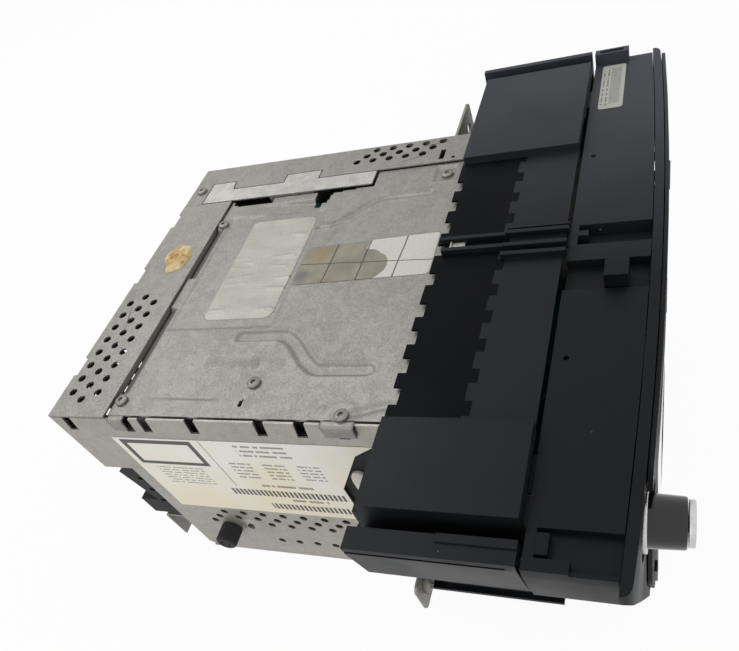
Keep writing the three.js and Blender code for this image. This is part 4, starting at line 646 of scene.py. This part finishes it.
def pressed_height(x, y):
    """Millimetres above the flat sheet: beads, ramps, panel, pan, channels, then small dents."""
    near = path_distance(x, y, near_bead)
    far = path_distance(x, y, far_bead)
    height = -1.0 * dip(near, 3.3, 1.1) - 1.0 * dip(far, 2.3, 0.9)
    height = height + 0.22 * np.exp(-((near - 3.6) / 0.8) ** 2)
    height = height + 0.22 * np.exp(-((far - 2.6) / 0.7) ** 2)
    near_slope = dip(box_distance(x, y, -78.0, -62.0, 32.0, 96.0), 1.4, 1.6)
    side_slope = ease((-54.5 - x) / 7.5) * ease((x + 78.8) / 0.9) * ease((y - 31.2) / 0.9)
    ramp_depth = 2.5 * np.clip((84.0 - y) / 52.0, 0, 1)
    height = height - ramp_depth * np.maximum(near_slope, side_slope * (y > 30))
    far_slope = ease((x - 42.0) / 1.0) * ease((51.4 - x) / 1.6) * ease((y - 37.4) / 0.9)
    height = height - 2.5 * np.clip((78.0 - y) / 40.0, 0, 1) * far_slope
    panel = box_distance(x, y, -38.0, 42.0, 33.8, 89.0)
    height = height - 0.65 * dip(panel, 1.0, 1.1)
    channel_left = ease((x + 76.5) / 1.5) * ease((-23.5 - x) / 1.5)
    channel_right = ease((x + 3.5) / 1.5) * ease((34.5 - x) / 1.5)
    height = height - 1.7 * (channel_left + channel_right) * ease((y - 90.4) / 4.2)
    pan = box_distance(x, y, 55.2, 64.8, -29.8, -20.7)
    height = height - 0.7 * dip(pan, 0.9, 1.1) + 0.30 * np.exp(-((pan - 1.5) / 0.8) ** 2)
    valley = path_distance(x, y, [(-84.5, -20.5), (-81.2, -30.0), (-80.0, -42.0)])
    height = height - 0.9 * dip(valley, 3.2, 3.0)
    collar = np.hypot(x + 85.6, y + 15.6)
    height = height + 0.35 * np.exp(-((collar - 5.2) / 1.5) ** 2)
    height = height + 0.9 * np.exp(-(np.hypot(x + 83.4, y + 7.0) / 1.7) ** 2)
    height = height - 0.35 * np.exp(-(np.hypot(x + 76.3, y - 18.5) / 0.9) ** 2)
    dents = np.sin(x / 11.0 + 1.3 * np.sin(y / 17.0)) * np.sin(y / 13.0 + 0.7)
    return height + 0.05 * dents


print("deepest pressing", round(float(pressed_height(np.array([-70.0]), np.array([34.0]))[0]), 2))

# %% [markdown]
# The sheet has straight edges and cut-outs. A fine grid could be cut with booleans, but it is
# quicker and cleaner to run grid lines exactly along the edges and to leave out the cells
# that lie in a cut-out. Under the plastic arch nothing is pressed, so the lines are wider there.


# %% The cover as a grid with cut-outs
def grid_lines(keys, step):
    """Lines at every key place, with even lines between them no further apart than step."""
    keys = sorted(keys)
    pieces = [np.linspace(a, b, max(1, round((b - a) / step)), endpoint=False)
              for a, b in zip(keys[:-1], keys[1:])]
    return np.append(np.concatenate(pieces), keys[-1])


def in_polygon(x, y, corners):
    """Counts how many edges lie to the right of a point: an odd count means inside."""
    corners = np.array(corners, float)
    inside = np.zeros(x.shape, bool)
    for (ax, ay), (bx, by) in zip(corners, np.roll(corners, -1, axis=0)):
        if ay == by:
            continue
        crosses = (ay > y) != (by > y)
        inside ^= crosses & (x < ax + (y - ay) * (bx - ax) / (by - ay))
    return inside


def kept_cells(x_lines, y_lines, keep):
    """Points and faces of a flat grid, with only the cells whose middle the test keeps."""
    x, y = np.meshgrid(x_lines, y_lines, indexing="ij")
    faces = wrapped_faces(*x.shape)
    middle_x = x.reshape(-1)[faces].mean(1)
    middle_y = y.reshape(-1)[faces].mean(1)
    faces = faces[keep(middle_x, middle_y)]
    used, renumbered = np.unique(faces, return_inverse=True)
    return x.reshape(-1)[used], y.reshape(-1)[used], renumbered.reshape(faces.shape)


rear_gap = [(52.4, 69), (60, 69), (60, 94), (53.9, 94), (52.4, 90)]
front_gap = [(47, 43), (47, 35), (54.6, 33.5), (56.4, 18), (70, 18), (70, 43)]
outline = [(-88, -75), (68, -75), (68, 11.4), (56.4, 11.4), (56.4, 95.4), (-88, 95.4)]
slit = [(-82.4, 29.8), (-78.6, 29.8), (-78.6, 31.6), (-82.4, 31.6)]


def on_cover(x, y):
    holes = in_polygon(x, y, rear_gap) | in_polygon(x, y, front_gap) | in_polygon(x, y, slit)
    return in_polygon(x, y, outline) & ~holes


fine_step, wide_step = 0.8, 3.0
pressed_rows = [-45, 11.4, 18, 29.8, 31.6, 35, 43, 69, 90, 94, 95.4]
x_lines = grid_lines([-88, -82.4, -78.6, 47, 52.4, 56.4, 68], fine_step)
y_lines = np.unique(np.concatenate([grid_lines([-75, -45], wide_step),
                                    grid_lines(pressed_rows, fine_step)]))
x, y, faces = kept_cells(x_lines, y_lines, on_cover)
points = np.stack([x, y, COVER_TOP + pressed_height(x, y)], axis=1)
cover_mesh = face_up(new_mesh("pressed_cover", points, faces[:, ::-1]))
cover = show("pressed_cover", cover_mesh, "mechanism_cover", galvanised, angle=60)
thickened(cover, 1.0)
cover.data.shade_smooth()
cover.data.set_sharp_from_angle(angle=math.radians(50))
print(len(cover.data.polygons), "faces in the pressed cover")

# %% [markdown]
# Two tabs of the lid bend over the edge of the side wall. A bent strip is a path with a width:
# the path goes outwards, round a small radius and down, and the thickness is added last.


# %% Tabs that bend over the side wall
def bent_tab(name, front, rear, drop):
    """A path in X and Z, flat and then a quarter circle and then down, carried along Y."""
    quarter = np.linspace(0, np.pi / 2, 9)
    wall_face, bend, columns = -90.1, 1.2, 12
    bend_x = wall_face - bend * np.sin(quarter)
    bend_z = COVER_TOP - bend * (1 - np.cos(quarter))
    path_x = np.concatenate([[-87.9, -89.0], bend_x, [wall_face - bend]])
    path_z = np.concatenate([[COVER_TOP, COVER_TOP], bend_z, [COVER_TOP - drop]])
    along = np.linspace(front, rear, columns)
    narrowing = 0.5 * ease((COVER_TOP - path_z) / drop)
    middle, half = (front + rear) / 2, (rear - front) / 2
    y = middle + (along[None, :] - middle) / half * (half - narrowing[:, None])
    points = np.stack([np.repeat(path_x[:, None], columns, 1), y,
                       np.repeat(path_z[:, None], columns, 1)], -1)
    mesh = face_up(new_mesh(name, points, wrapped_faces(len(path_x), columns)))
    return thickened(show(name, mesh, "mechanism_cover", galvanised, stands_for=False), 0.95)


for name, front, rear, drop in (("front_tab", -22, -8, 6.5), ("rear_tab", 86.5, 94.5, 6.5)):
    print(bent_tab("cover_" + name, front, rear, drop).name)

# %% [markdown]
# ## Screws
# The lid's screws have low round heads with a six-lobed socket. The head is a height field in
# polar form: the height depends on the radius and the angle, and the socket's edge is a
# radius that swings six times on its way round.


# %% Screws with six-lobed sockets
def screw_head(node, axis="z", radius=2.9, rise=1.55):
    """z = a low dome, less a flat-bottomed socket whose radius is r0 (1 + 0.16 cos 6a)."""
    low, high = (np.array(corner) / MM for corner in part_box(node))
    centre = (low + high) / 2
    angle = np.linspace(0, 2 * np.pi, 72, endpoint=False)
    share = np.array([0, 0.1, 0.2, 0.28, 0.33, 0.37, 0.4, 0.44, 0.5, 0.6, 0.7, 0.8, 0.88, 0.94,
                      0.98, 1.0, 1.0, 0.97])
    ring, around = np.meshgrid(share, angle, indexing="ij")
    dome = rise * np.sqrt(np.clip(1 - (ring * 0.86) ** 2, 0, 1))
    lobes = 0.38 * (1 + 0.16 * np.cos(6 * around))
    height = dome - 0.95 * dip(ring, lobes + 0.02, 0.05)
    height[-3] = 0.62 * rise
    height[-2:] = 0.0
    first = radius * ring * np.cos(around)
    second = radius * ring * np.sin(around)
    if axis == "z":
        points = np.stack([centre[0] + first, centre[1] + second, low[2] + height], -1)
    else:
        points = np.stack([centre[0] + first, high[1] - height, centre[2] + second], -1)
    faces = wrapped_faces(len(share), len(angle), round_columns=True)
    mesh = new_mesh(node + "_head", points, faces)
    shape = bmesh.new()
    shape.from_mesh(mesh)
    bmesh.ops.holes_fill(shape, edges=[edge for edge in shape.edges if edge.is_boundary], sides=0)
    bmesh.ops.recalc_face_normals(shape, faces=shape.faces)
    shape.to_mesh(mesh)
    shape.free()
    return show(node + "_head", mesh, node, galvanised, angle=40)


for number in range(1, 7):
    screw_head(f"top_screw_{number}")
screw_head("near_ear_screw", "y", 5.4, 2.9)
print("seven screws")

# %% [markdown]
# ## The knob
# The knob is turned about one axis, so each of its parts is a lathe surface: a profile of
# radius and place, swept round. The profile lists every small radius, because a turned edge
# shows its rounding all the way round.


# %% Knob, ring and cap
def rounded_profile(corners, radius, steps=5):
    """Replaces each corner of a profile by a short curve: the mix (1-t)^2 a + 2t(1-t) b + t^2 c."""
    corners = np.array(corners, float)
    out = [corners[0]]
    for before, corner, after in zip(corners[:-2], corners[1:-1], corners[2:]):
        reach_in = min(radius, np.linalg.norm(corner - before) / 2.2)
        reach_out = min(radius, np.linalg.norm(after - corner) / 2.2)
        a = corner + (before - corner) / np.linalg.norm(before - corner) * reach_in
        c = corner + (after - corner) / np.linalg.norm(after - corner) * reach_out
        t = np.linspace(0, 1, steps)[:, None]
        out.extend((1 - t) ** 2 * a + 2 * t * (1 - t) * corner + t ** 2 * c)
    out.append(corners[-1])
    return np.array(out)


knob_low, knob_high = (np.array(corner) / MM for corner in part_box("volume_knob"))
ring_low, ring_high = (np.array(corner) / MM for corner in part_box("knob_ring"))
cap_low, cap_high = (np.array(corner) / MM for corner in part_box("knob_cap"))
knob_centre = ((ring_low + ring_high) / 2)[[0, 2]]

body = rounded_profile([(2.95, knob_high[1]), (8.75, knob_high[1]), (8.75, ring_low[1] - 0.4),
                        (8.3, knob_low[1] + 0.6), (8.0, knob_low[1]), (2.95, knob_low[1]),
                        (2.95, knob_high[1])], 0.5)
points, faces = lathe(body, "y", knob_centre, 96)
show("knob_body", new_mesh("knob_body", points, faces), "volume_knob", gloss_black, angle=40)

ring = rounded_profile([(9.25, ring_high[1]), (10.45, ring_high[1]), (10.45, ring_low[1]),
                        (9.7, ring_low[1]), (9.25, ring_low[1] + 0.5), (9.25, ring_high[1])], 0.35)
points, faces = lathe(ring, "y", knob_centre, 96)
show("knob_base_ring", new_mesh("knob_base_ring", points, faces), "knob_ring", silver, angle=40)

end = cap_low[1]
cap = rounded_profile([(0, cap_high[1]), (2.55, cap_high[1]), (2.55, knob_low[1] - 0.3),
                       (7.45, knob_low[1] - 0.3), (7.45, end + 0.25), (7.15, end),
                       (6.2, end), (6.0, end + 0.28), (0, end + 0.42)], 0.22)
points, faces = lathe(cap, "y", knob_centre, 96)
show("knob_end_cap", new_mesh("knob_end_cap", points, faces), "knob_cap", silver, angle=40)
print("knob centre", np.round(knob_centre, 1))

# %% [markdown]
# ## Sealant, bush and stud
# A dab of hard sealant lies on the rear strip. It is a dome whose outline is a leaf, not a
# circle: the radius changes with the angle, and small waves pit the skin. The bush on the side
# wall is a rubber cylinder with fine ribs, and the stud is a soft oval button.


# %% Dab of sealant
def sealant_finish():
    """Amber resin with a pitted skin: a noise runs from deep orange to a pale cloud."""
    f = Finish("hard_sealant", IOR=1.5, Subsurface_Weight=0.2, Subsurface_Scale=0.002)
    f.set(f.shader, {"Subsurface Radius": (1.0, 0.5, 0.16)})
    pits = f.noise(420, 4)
    clouds = f.noise(130, 3)
    mixed = f.sums("ADD", f.both(pits, 0.5), f.both(clouds, 0.5))
    colour = f.ramp(mixed, [(0.36, (0.34, 0.205, 0.070)), (0.46, (0.62, 0.41, 0.140)),
                            (0.60, (0.76, 0.62, 0.36))])
    rough = f.ranged(pits, 0.35, 0.65, 0.28, 0.55)
    return f.done(Base_Color=colour, Roughness=rough, Normal=f.bump(pits, 0.0008, 0.9))


dab_shares = np.array([(-0.5, 0.11), (-0.33, 0.21), (-0.16, 0.31), (0.17, 0.5), (0.35, 0.37),
                       (0.5, 0.22), (0.46, -0.03), (0.4, -0.27), (0.21, -0.39), (0.02, -0.5),
                       (-0.18, -0.44), (-0.37, -0.36), (-0.45, -0.14)])


def sealant_dab():
    """The leaf's radius at an angle comes from its thirteen corners, joined round the circle.
    The height over share s of the radius is 2.2 (1 - s^2)^0.7 plus small waves."""
    centre, size = np.array([11.4, 109.1]), np.array([22.0, 17.0])
    strip_top, tallest = 121.64, 2.55
    corner = dab_shares * size
    corner_angle = np.arctan2(corner[:, 1], corner[:, 0])
    order = np.argsort(corner_angle)
    angle = np.linspace(-np.pi, np.pi, 120, endpoint=False)
    radius = np.interp(angle, corner_angle[order], np.hypot(*corner.T)[order], period=2 * np.pi)
    share = np.concatenate([np.linspace(0, 1, 30), [0.98, 0.0]])
    x = centre[0] + share[:, None] * radius * np.cos(angle)
    y = centre[1] + share[:, None] * radius * np.sin(angle)
    ring = np.repeat(share[:, None], 120, axis=1)
    waves = 0.20 * np.sin(1.5 * x) * np.sin(1.9 * y + x) + 0.13 * np.sin(3.4 * x + 2.7 * y)
    height = 2.2 * np.clip(1 - ring ** 2, 0, 1) ** 0.7 + waves * (1 - ring ** 6)
    height[-2:] = 0.0
    points = np.stack([x, y, strip_top + np.clip(height, 0, tallest)], -1)
    return new_mesh("sealant_drop", points, wrapped_faces(len(share), 120, round_columns=True))


show("sealant_drop", sealant_dab(), "sealant_dab", sealant_finish(), angle=80)
print("sealant dab done")


# %% Ribbed bush and oval stud
def ribbed_bush():
    """A turned profile with 28 shallow grooves round its outer barrel, where cos 28a > 0.1."""
    points, faces = lathe(rounded_profile([(0, -100.1), (1.9, -100.1), (2.1, -99.2), (2.6, -99.2),
                                           (2.9, -100.2), (4.6, -100.2), (5.5, -99.2), (5.5, -96.5),
                                           (5.5, -93.5), (5.5, -90.6), (5.1, -90.3), (3.0, -90.3),
                                           (3.0, -88.9), (0, -88.9)], 0.35), "x", (0.0, 0.0), 168)
    radius = np.hypot(points[..., 1], points[..., 2])
    angle = np.arctan2(points[..., 2], points[..., 1])
    on_barrel = ease((radius - 4.6) / 0.6) * ease((points[..., 0] + 99.8) / 0.8)
    grown = 1 - 0.045 * on_barrel * (np.cos(28 * angle) > 0.1)
    bush_y, bush_z = 83.5, 26.0
    points[..., 1] = bush_y + points[..., 1] * grown
    points[..., 2] = bush_z + points[..., 2] * grown
    return new_mesh("ribbed_bush", points, faces)


show("ribbed_bush", ribbed_bush(), "guide_bush", black_rubber, angle=40)


def oval_stud():
    """A squashed dome over an oval: |y/4.3|^2.6 + |z/9.3|^2.6 = 1 at the rim."""
    low, high = (np.array(corner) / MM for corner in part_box("side_stud"))
    centre = (low + high) / 2
    angle = np.linspace(0, 2 * np.pi, 72, endpoint=False)
    share = np.concatenate([np.sin(np.linspace(0, np.pi / 2, 16)), [1.0, 0.0]])
    ring, around = np.meshgrid(share, angle, indexing="ij")
    reach = (np.abs(np.cos(around)) ** 2.6 + np.abs(np.sin(around)) ** 2.6) ** (-1 / 2.6)
    rise = (high[0] - low[0]) * (0.45 + 0.55 * np.sqrt(np.clip(1 - ring ** 2, 0, 1)))
    rise[-2:] = 0.0
    points = np.stack([high[0] - rise, centre[1] + 4.35 * ring * reach * np.cos(around),
                       centre[2] + 9.3 * ring * reach * np.sin(around)], -1)
    return new_mesh("oval_stud", points, wrapped_faces(len(share), 72, round_columns=True))


show("oval_stud", oval_stud(), "side_stud", stud_plastic, angle=50)
print("bush and stud done")

# %% [markdown]
# ## The foil label
# A strip of soft foil is stuck on the lid, and it has wrinkled. Each wrinkle is a straight
# line on the foil, and the foil stands up a little along it and falls away on both sides. Many
# short lines with different heights, added together, look like crumpled foil.


# %% Wrinkled foil
def foil_finish():
    f = Finish("wrinkled_foil", Metallic=0.55)
    grain = f.noise(1100, 3)
    strokes = f.noise(170, 4, stretch=(1.0, 0.35, 1.0))
    colour = f.ramp(f.sums("ADD", f.both(grain, 0.5), f.both(strokes, 0.5)),
                    [(0.36, (0.345, 0.335, 0.295)), (0.64, (0.455, 0.445, 0.395))])
    rough = f.ranged(f.noise(50, 3), 0.3, 0.7, 0.46, 0.58)
    fine = f.bump(grain, 0.00005, 0.5)
    relief = f.bump(strokes, 0.00018, 0.4, under=fine)
    return f.done(Base_Color=colour, Roughness=rough, Normal=relief)


foil_outline = [(-32.7, 40), (-31.4, 37.5), (-28.5, 36.3), (34.2, 36.3), (36.8, 37.4), (37.8, 40),
                (37.8, 71.5), (36.4, 73.6), (-29, 73.6), (-31.8, 72.4), (-32.7, 69.8)]
wrinkles = np.random.default_rng(7)
ridges = 17


def foil_height(x, y):
    """A sum of ridges near the two ends, each as high as exp(-(d / width)^2) at distance d."""
    height = np.zeros_like(x)
    for count in range(ridges):
        cx = wrinkles.uniform(-29, 32)
        rear_side = count % 2
        cy = wrinkles.uniform(64, 69) if rear_side else wrinkles.uniform(38, 46)
        half = wrinkles.uniform(2.5, 6.0)
        lean = wrinkles.normal(0.0, 0.10)
        ends = [(cx - half * lean, cy - half), (cx + half * lean, cy + half)]
        width = wrinkles.uniform(0.55, 1.0)
        peak = wrinkles.uniform(0.12, 0.42)
        distance = path_distance(x, y, ends)
        height += peak * np.exp(-((distance / width) ** 2))
    return np.minimum(height, 0.75)


foil_step, foil_thickness = 0.55, 0.1
foil_columns, foil_rows = grid_lines([-32.7, 37.8], foil_step), grid_lines([36.3, 73.6], foil_step)
x, y, faces = kept_cells(foil_columns, foil_rows, lambda a, b: in_polygon(a, b, foil_outline))
under = COVER_TOP + np.minimum(pressed_height(x, y), -0.2)
points = np.stack([x, y, under + foil_thickness + foil_height(x, y)], axis=1)
foil_mesh = face_up(new_mesh("foil_sheet", points, faces))
foil = show("foil_sheet", foil_mesh, "foil_label", foil_finish(), angle=80)
thickened(foil, foil_thickness)
print(len(foil.data.polygons), "faces of foil")

# %% [markdown]
# ## Paper
# Three paper labels are stuck on. The one on the lid is ruled by hand into boxes and is
# stained by old glue. The one on the side is printed: here its print is only plain lines and
# bars, with nothing to read. A pattern of straight lines needs no picture: a line is where a
# coordinate lies between two values, and a rectangle is where both of them do.


# %% Ruled and stained paper on the lid
def ruled_paper():
    f = Finish("ruled_paper")
    tilt = math.radians(-2.35)
    inputs = {"Vector": f.place, "Rotation": (0.0, 0.0, tilt), "Location": (-0.0007, 0.0, 0.0)}
    turned = f.node("Mapping", inputs, vector_type="TEXTURE").outputs[0]
    u, v, _ = f.parts(turned)
    fibres = f.noise(1400, 3)
    colour = f.ramp(fibres, [(0.3, (0.60, 0.585, 0.535)), (0.7, (0.72, 0.705, 0.655))])
    wobble = f.sums("MULTIPLY", f.sums("SUBTRACT", f.noise(140, 3), 0.5), 0.005)
    rear_part = f.sums("GREATER_THAN", f.sums("ADD", v, wobble), 0.0010)
    square = [f.sums("POWER", f.sums("DIVIDE", f.sums("SUBTRACT", value, middle), size), 2.0)
              for value, middle, size in ((u, -0.0030, 0.0115), (v, 0.0010, 0.0125))]
    ring = f.sums("ADD", f.sums("ADD", *square), f.sums("MULTIPLY", wobble, 90.0))
    blotch = f.sums("LESS_THAN", ring, 1.0)
    stain_colour = f.ramp(f.noise(120, 4), [(0.35, (0.225, 0.205, 0.150)),
                                            (0.65, (0.315, 0.290, 0.220))])
    colour = f.blend(f.both(f.either(rear_part, blotch), 0.92), colour, stain_colour)

    def spot(a, b, radius):
        """1 in the middle of a round spot, falling to 0 at its radius."""
        da = f.sums("POWER", f.sums("SUBTRACT", u, a), 2.0)
        db = f.sums("POWER", f.sums("SUBTRACT", v, b), 2.0)
        return f.ranged(f.sums("SQRT", f.sums("ADD", da, db)), 0.0, radius, 1.0, 0.0)

    colour = f.blend(f.both(spot(0.006, 0.0245, 0.0085), 0.45), colour, (0.36, 0.215, 0.060))
    colour = f.blend(f.both(spot(-0.0085, 0.0300, 0.0055), 0.6), colour, (0.080, 0.110, 0.160))
    waver = f.sums("MULTIPLY", f.sums("SUBTRACT", f.noise(60, 2), 0.5), 0.0012)
    long_line = f.within(f.sums("ADD", u, waver), -0.00045, 0.00010)
    lines = [f.within(f.sums("ADD", v, waver), at - 0.00035, at + 0.00035)
             for at in (0.0172, 0.0008, -0.0166)]
    colour = f.blend(f.both(f.either(long_line, *lines), 0.82), colour, (0.045, 0.043, 0.045))
    return f.done(Base_Color=colour, Roughness=f.ranged(fibres, 0.2, 0.8, 0.72, 0.88),
                  Normal=f.bump(fibres, 0.00008, 0.6))


dressed("paper_label", ruled_paper(), 0.04, 1)
print("ruled paper done")


# %% Printed paper on the side wall
def printed_paper():
    """Everything is placed by Y and Z, in millimetres from the origin."""
    f = Finish("printed_paper")
    _, y_metres, z_metres = f.parts()
    y = f.sums("MULTIPLY", y_metres, 1000.0)
    z = f.sums("MULTIPLY", z_metres, 1000.0)
    fibres = f.noise(1300, 3)
    clean = f.ramp(fibres, [(0.3, (0.87, 0.855, 0.785)), (0.7, (0.93, 0.915, 0.85))])
    age = f.ranged(f.sums("SUBTRACT", f.noise(24, 4), f.sums("MULTIPLY", z, 0.006)), -0.10, 0.16)
    colour = f.blend(f.both(age, 0.75), clean, (0.88, 0.79, 0.57))

    def box(rear, front, top, foot):
        return f.both(f.within(y, front, rear), f.within(z, foot, top))

    ink = (0.045, 0.043, 0.047)
    frame_box = f.both(box(99.6, 60.8, 105.5, 86.3),
                       f.sums("SUBTRACT", 1.0, box(96.9, 63.4, 102.7, 88.6)))
    divider = box(56.25, 55.85, 106.0, 70.6)

    def rows(rear, front, top, foot, count, thick, dash):
        """Even rows of short dashes: a fraction of z makes the rows, noise along y the dashes."""
        pitch = (top - foot) / count
        step = f.sums("FRACT", f.sums("DIVIDE", f.sums("SUBTRACT", z, foot), pitch))
        bars = f.within(step, 0.5 - thick / 2, 0.5 + thick / 2)
        row = f.sums("FLOOR", f.sums("DIVIDE", f.sums("SUBTRACT", z, foot), pitch))
        place = f.node("CombineXYZ", {0: f.sums("MULTIPLY", y, dash), 1: row}).outputs[0]
        breaks = f.node("TexNoise", {"Vector": place, "Scale": 1.0, "Detail": 0.0})
        words = f.sums("GREATER_THAN", breaks.outputs["Fac"], 0.43)
        return f.both(f.both(bars, words), box(rear, front, top, foot))

    blocks_of_rows = [(93.0, 67.0, 84.6, 69.6, 7, 0.34, 0.55),
                      (40.0, 14.5, 105.0, 95.0, 3, 0.40, 0.50),
                      (49.8, 38.5, 91.2, 77.6, 5, 0.40, 0.65),
                      (33.0, 21.5, 91.2, 77.6, 5, 0.40, 0.65),
                      (16.0, 5.0, 91.2, 78.6, 5, 0.40, 0.65),
                      (41.5, 15.0, 73.8, 70.6, 1, 0.55, 0.45),
                      (31.0, 12.5, 61.8, 58.8, 1, 0.60, 0.45)]
    small = [rows(*block_of_rows) for block_of_rows in blocks_of_rows]

    def bars(rear, front, top, foot):
        """Plain upright bars, all alike in width and spacing."""
        step = f.sums("FRACT", f.sums("DIVIDE", y, 2.2))
        return f.both(f.sums("LESS_THAN", step, 0.60), box(rear, front, top, foot))

    block = f.either(bars(61.0, 1.2, 68.0, 62.9), bars(44.8, 4.0, 56.2, 51.3))
    colour = f.blend(f.both(f.either(*small), 0.72), colour, (0.11, 0.10, 0.10))
    colour = f.blend(f.both(f.either(frame_box, divider, block), 0.95), colour, ink)
    return f.done(Base_Color=colour, Roughness=f.ranged(fibres, 0.2, 0.8, 0.55, 0.7),
                  Normal=f.bump(fibres, 0.00006, 0.5))


dressed("side_label", printed_paper(), 0.04, 1)
print("side label done")


# %% Small label on the plastic
def small_print():
    f = Finish("small_label_paper")
    x_metres, y_metres, _ = f.parts()
    x = f.sums("MULTIPLY", x_metres, 1000.0)
    y = f.sums("MULTIPLY", y_metres, 1000.0)
    fibres = f.noise(1300, 3)
    paper = f.ramp(fibres, [(0.3, (0.42, 0.42, 0.375)), (0.7, (0.52, 0.515, 0.465))])

    def box(left, right, front, rear):
        return f.both(f.within(x, left, right), f.within(y, front, rear))

    bars = f.sums("LESS_THAN", f.sums("FRACT", f.sums("DIVIDE", x, 0.95)), 0.5)
    block = f.both(bars, box(98.0, 130.0, -102.2, -97.4))
    dashes = f.sums("GREATER_THAN", f.noise(520, 0, stretch=(1.0, 0.0, 0.0)), 0.46)
    line = f.both(dashes, f.either(box(96.5, 130.0, -96.6, -95.8), box(97.0, 128.5, -94.6, -93.9)))
    colour = f.blend(f.both(f.either(block, line), 0.7), paper, (0.10, 0.10, 0.10))
    return f.done(Base_Color=colour, Roughness=f.ranged(fibres, 0.2, 0.8, 0.55, 0.7),
                  Normal=f.bump(fibres, 0.00005, 0.5))


dressed("cover_label", small_print(), 0.04, 1)
print("small label done")

# %% [markdown]
# ## Stage and light
# The unit stands on a pale floor in an even, soft light. The light has to stay at a plain
# level, at which a colour renders about as it is written, so the white behind the object
# can't come from more lamps. It comes from the floor and the sky: a ray that comes straight
# from the camera, or by way of a mirror or glass, sees them white, and all other rays see
# them plain.


# %% Floor
def floor_finish():
    f = Finish("pale_floor", Base_Color=(0.86, 0.86, 0.86, 1.0), Roughness=0.9)
    path = f.node("LightPath").outputs
    seen = f.either(path["Is Camera Ray"], path["Is Glossy Ray"], path["Is Transmission Ray"])
    glow = f.node("Emission", {"Color": (1.0, 1.0, 1.0, 1.0), "Strength": 1.0}).outputs[0]
    share = f.sums("MULTIPLY", seen, 0.95)
    mixed = f.node("MixShader", {0: share, 1: f.shader.outputs[0], 2: glow}).outputs[0]
    f.set(f.tree.nodes["Material Output"], {"Surface": mixed})
    return f.material


reach, floor_z = 3000.0, -0.6
corners = np.array([(-reach, -reach, floor_z), (reach, -reach, floor_z), (reach, reach, floor_z),
                    (-reach, reach, floor_z)])
floor_mesh = new_mesh("floor", corners, np.array([[0, 1, 2, 3]]))
floor = bpy.data.objects.new("floor", floor_mesh)
bpy.context.scene.collection.objects.link(floor)
floor_mesh.materials.append(floor_finish())
print("floor at", floor_z, "mm")

# %% Sky and lamps
world = bpy.data.worlds.new("soft_studio")
bpy.context.scene.world = world
world.use_nodes = True
tree = world.node_tree
plain = tree.nodes["Background"]
plain.inputs["Color"].default_value = (1.0, 1.0, 1.0, 1.0)
plain.inputs["Strength"].default_value = 0.62
white = tree.nodes.new("ShaderNodeBackground")
white.inputs["Strength"].default_value = 1.0
white.inputs["Color"].default_value = (1.0, 1.0, 1.0, 1.0)
path = tree.nodes.new("ShaderNodeLightPath")
first = tree.nodes.new("ShaderNodeMath")
first.operation = "MAXIMUM"
second = tree.nodes.new("ShaderNodeMath")
second.operation = "MAXIMUM"
blend = tree.nodes.new("ShaderNodeMixShader")
tree.links.new(path.outputs["Is Camera Ray"], first.inputs[0])
tree.links.new(path.outputs["Is Glossy Ray"], first.inputs[1])
tree.links.new(first.outputs[0], second.inputs[0])
tree.links.new(path.outputs["Is Transmission Ray"], second.inputs[1])
tree.links.new(second.outputs[0], blend.inputs[0])
tree.links.new(plain.outputs[0], blend.inputs[1])
tree.links.new(white.outputs[0], blend.inputs[2])
tree.links.new(blend.outputs[0], tree.nodes["World Output"].inputs["Surface"])
bpy.context.scene.view_settings.view_transform = "Standard"


def lamp(name, place, target, power, size):
    """A square lamp at a place, in metres, that faces a target."""
    data = bpy.data.lights.new(name, "AREA")
    data.energy = power
    data.size = size
    made = bpy.data.objects.new(name, data)
    toward = Vector(target) - Vector(place)
    turned = toward.to_track_quat("-Z", "Y").to_matrix().to_4x4()
    made.matrix_world = Matrix.Translation(place) @ turned
    bpy.context.scene.collection.objects.link(made)
    return made


lamp("key_lamp", (0.45, 0.75, 1.25), (0.0, 0.0, 0.06), 4.5, 0.8)
lamp("side_lamp", (-1.3, 0.5, 0.6), (0.0, 0.0, 0.06), 3.0, 0.9)
print("two lamps and a soft sky")
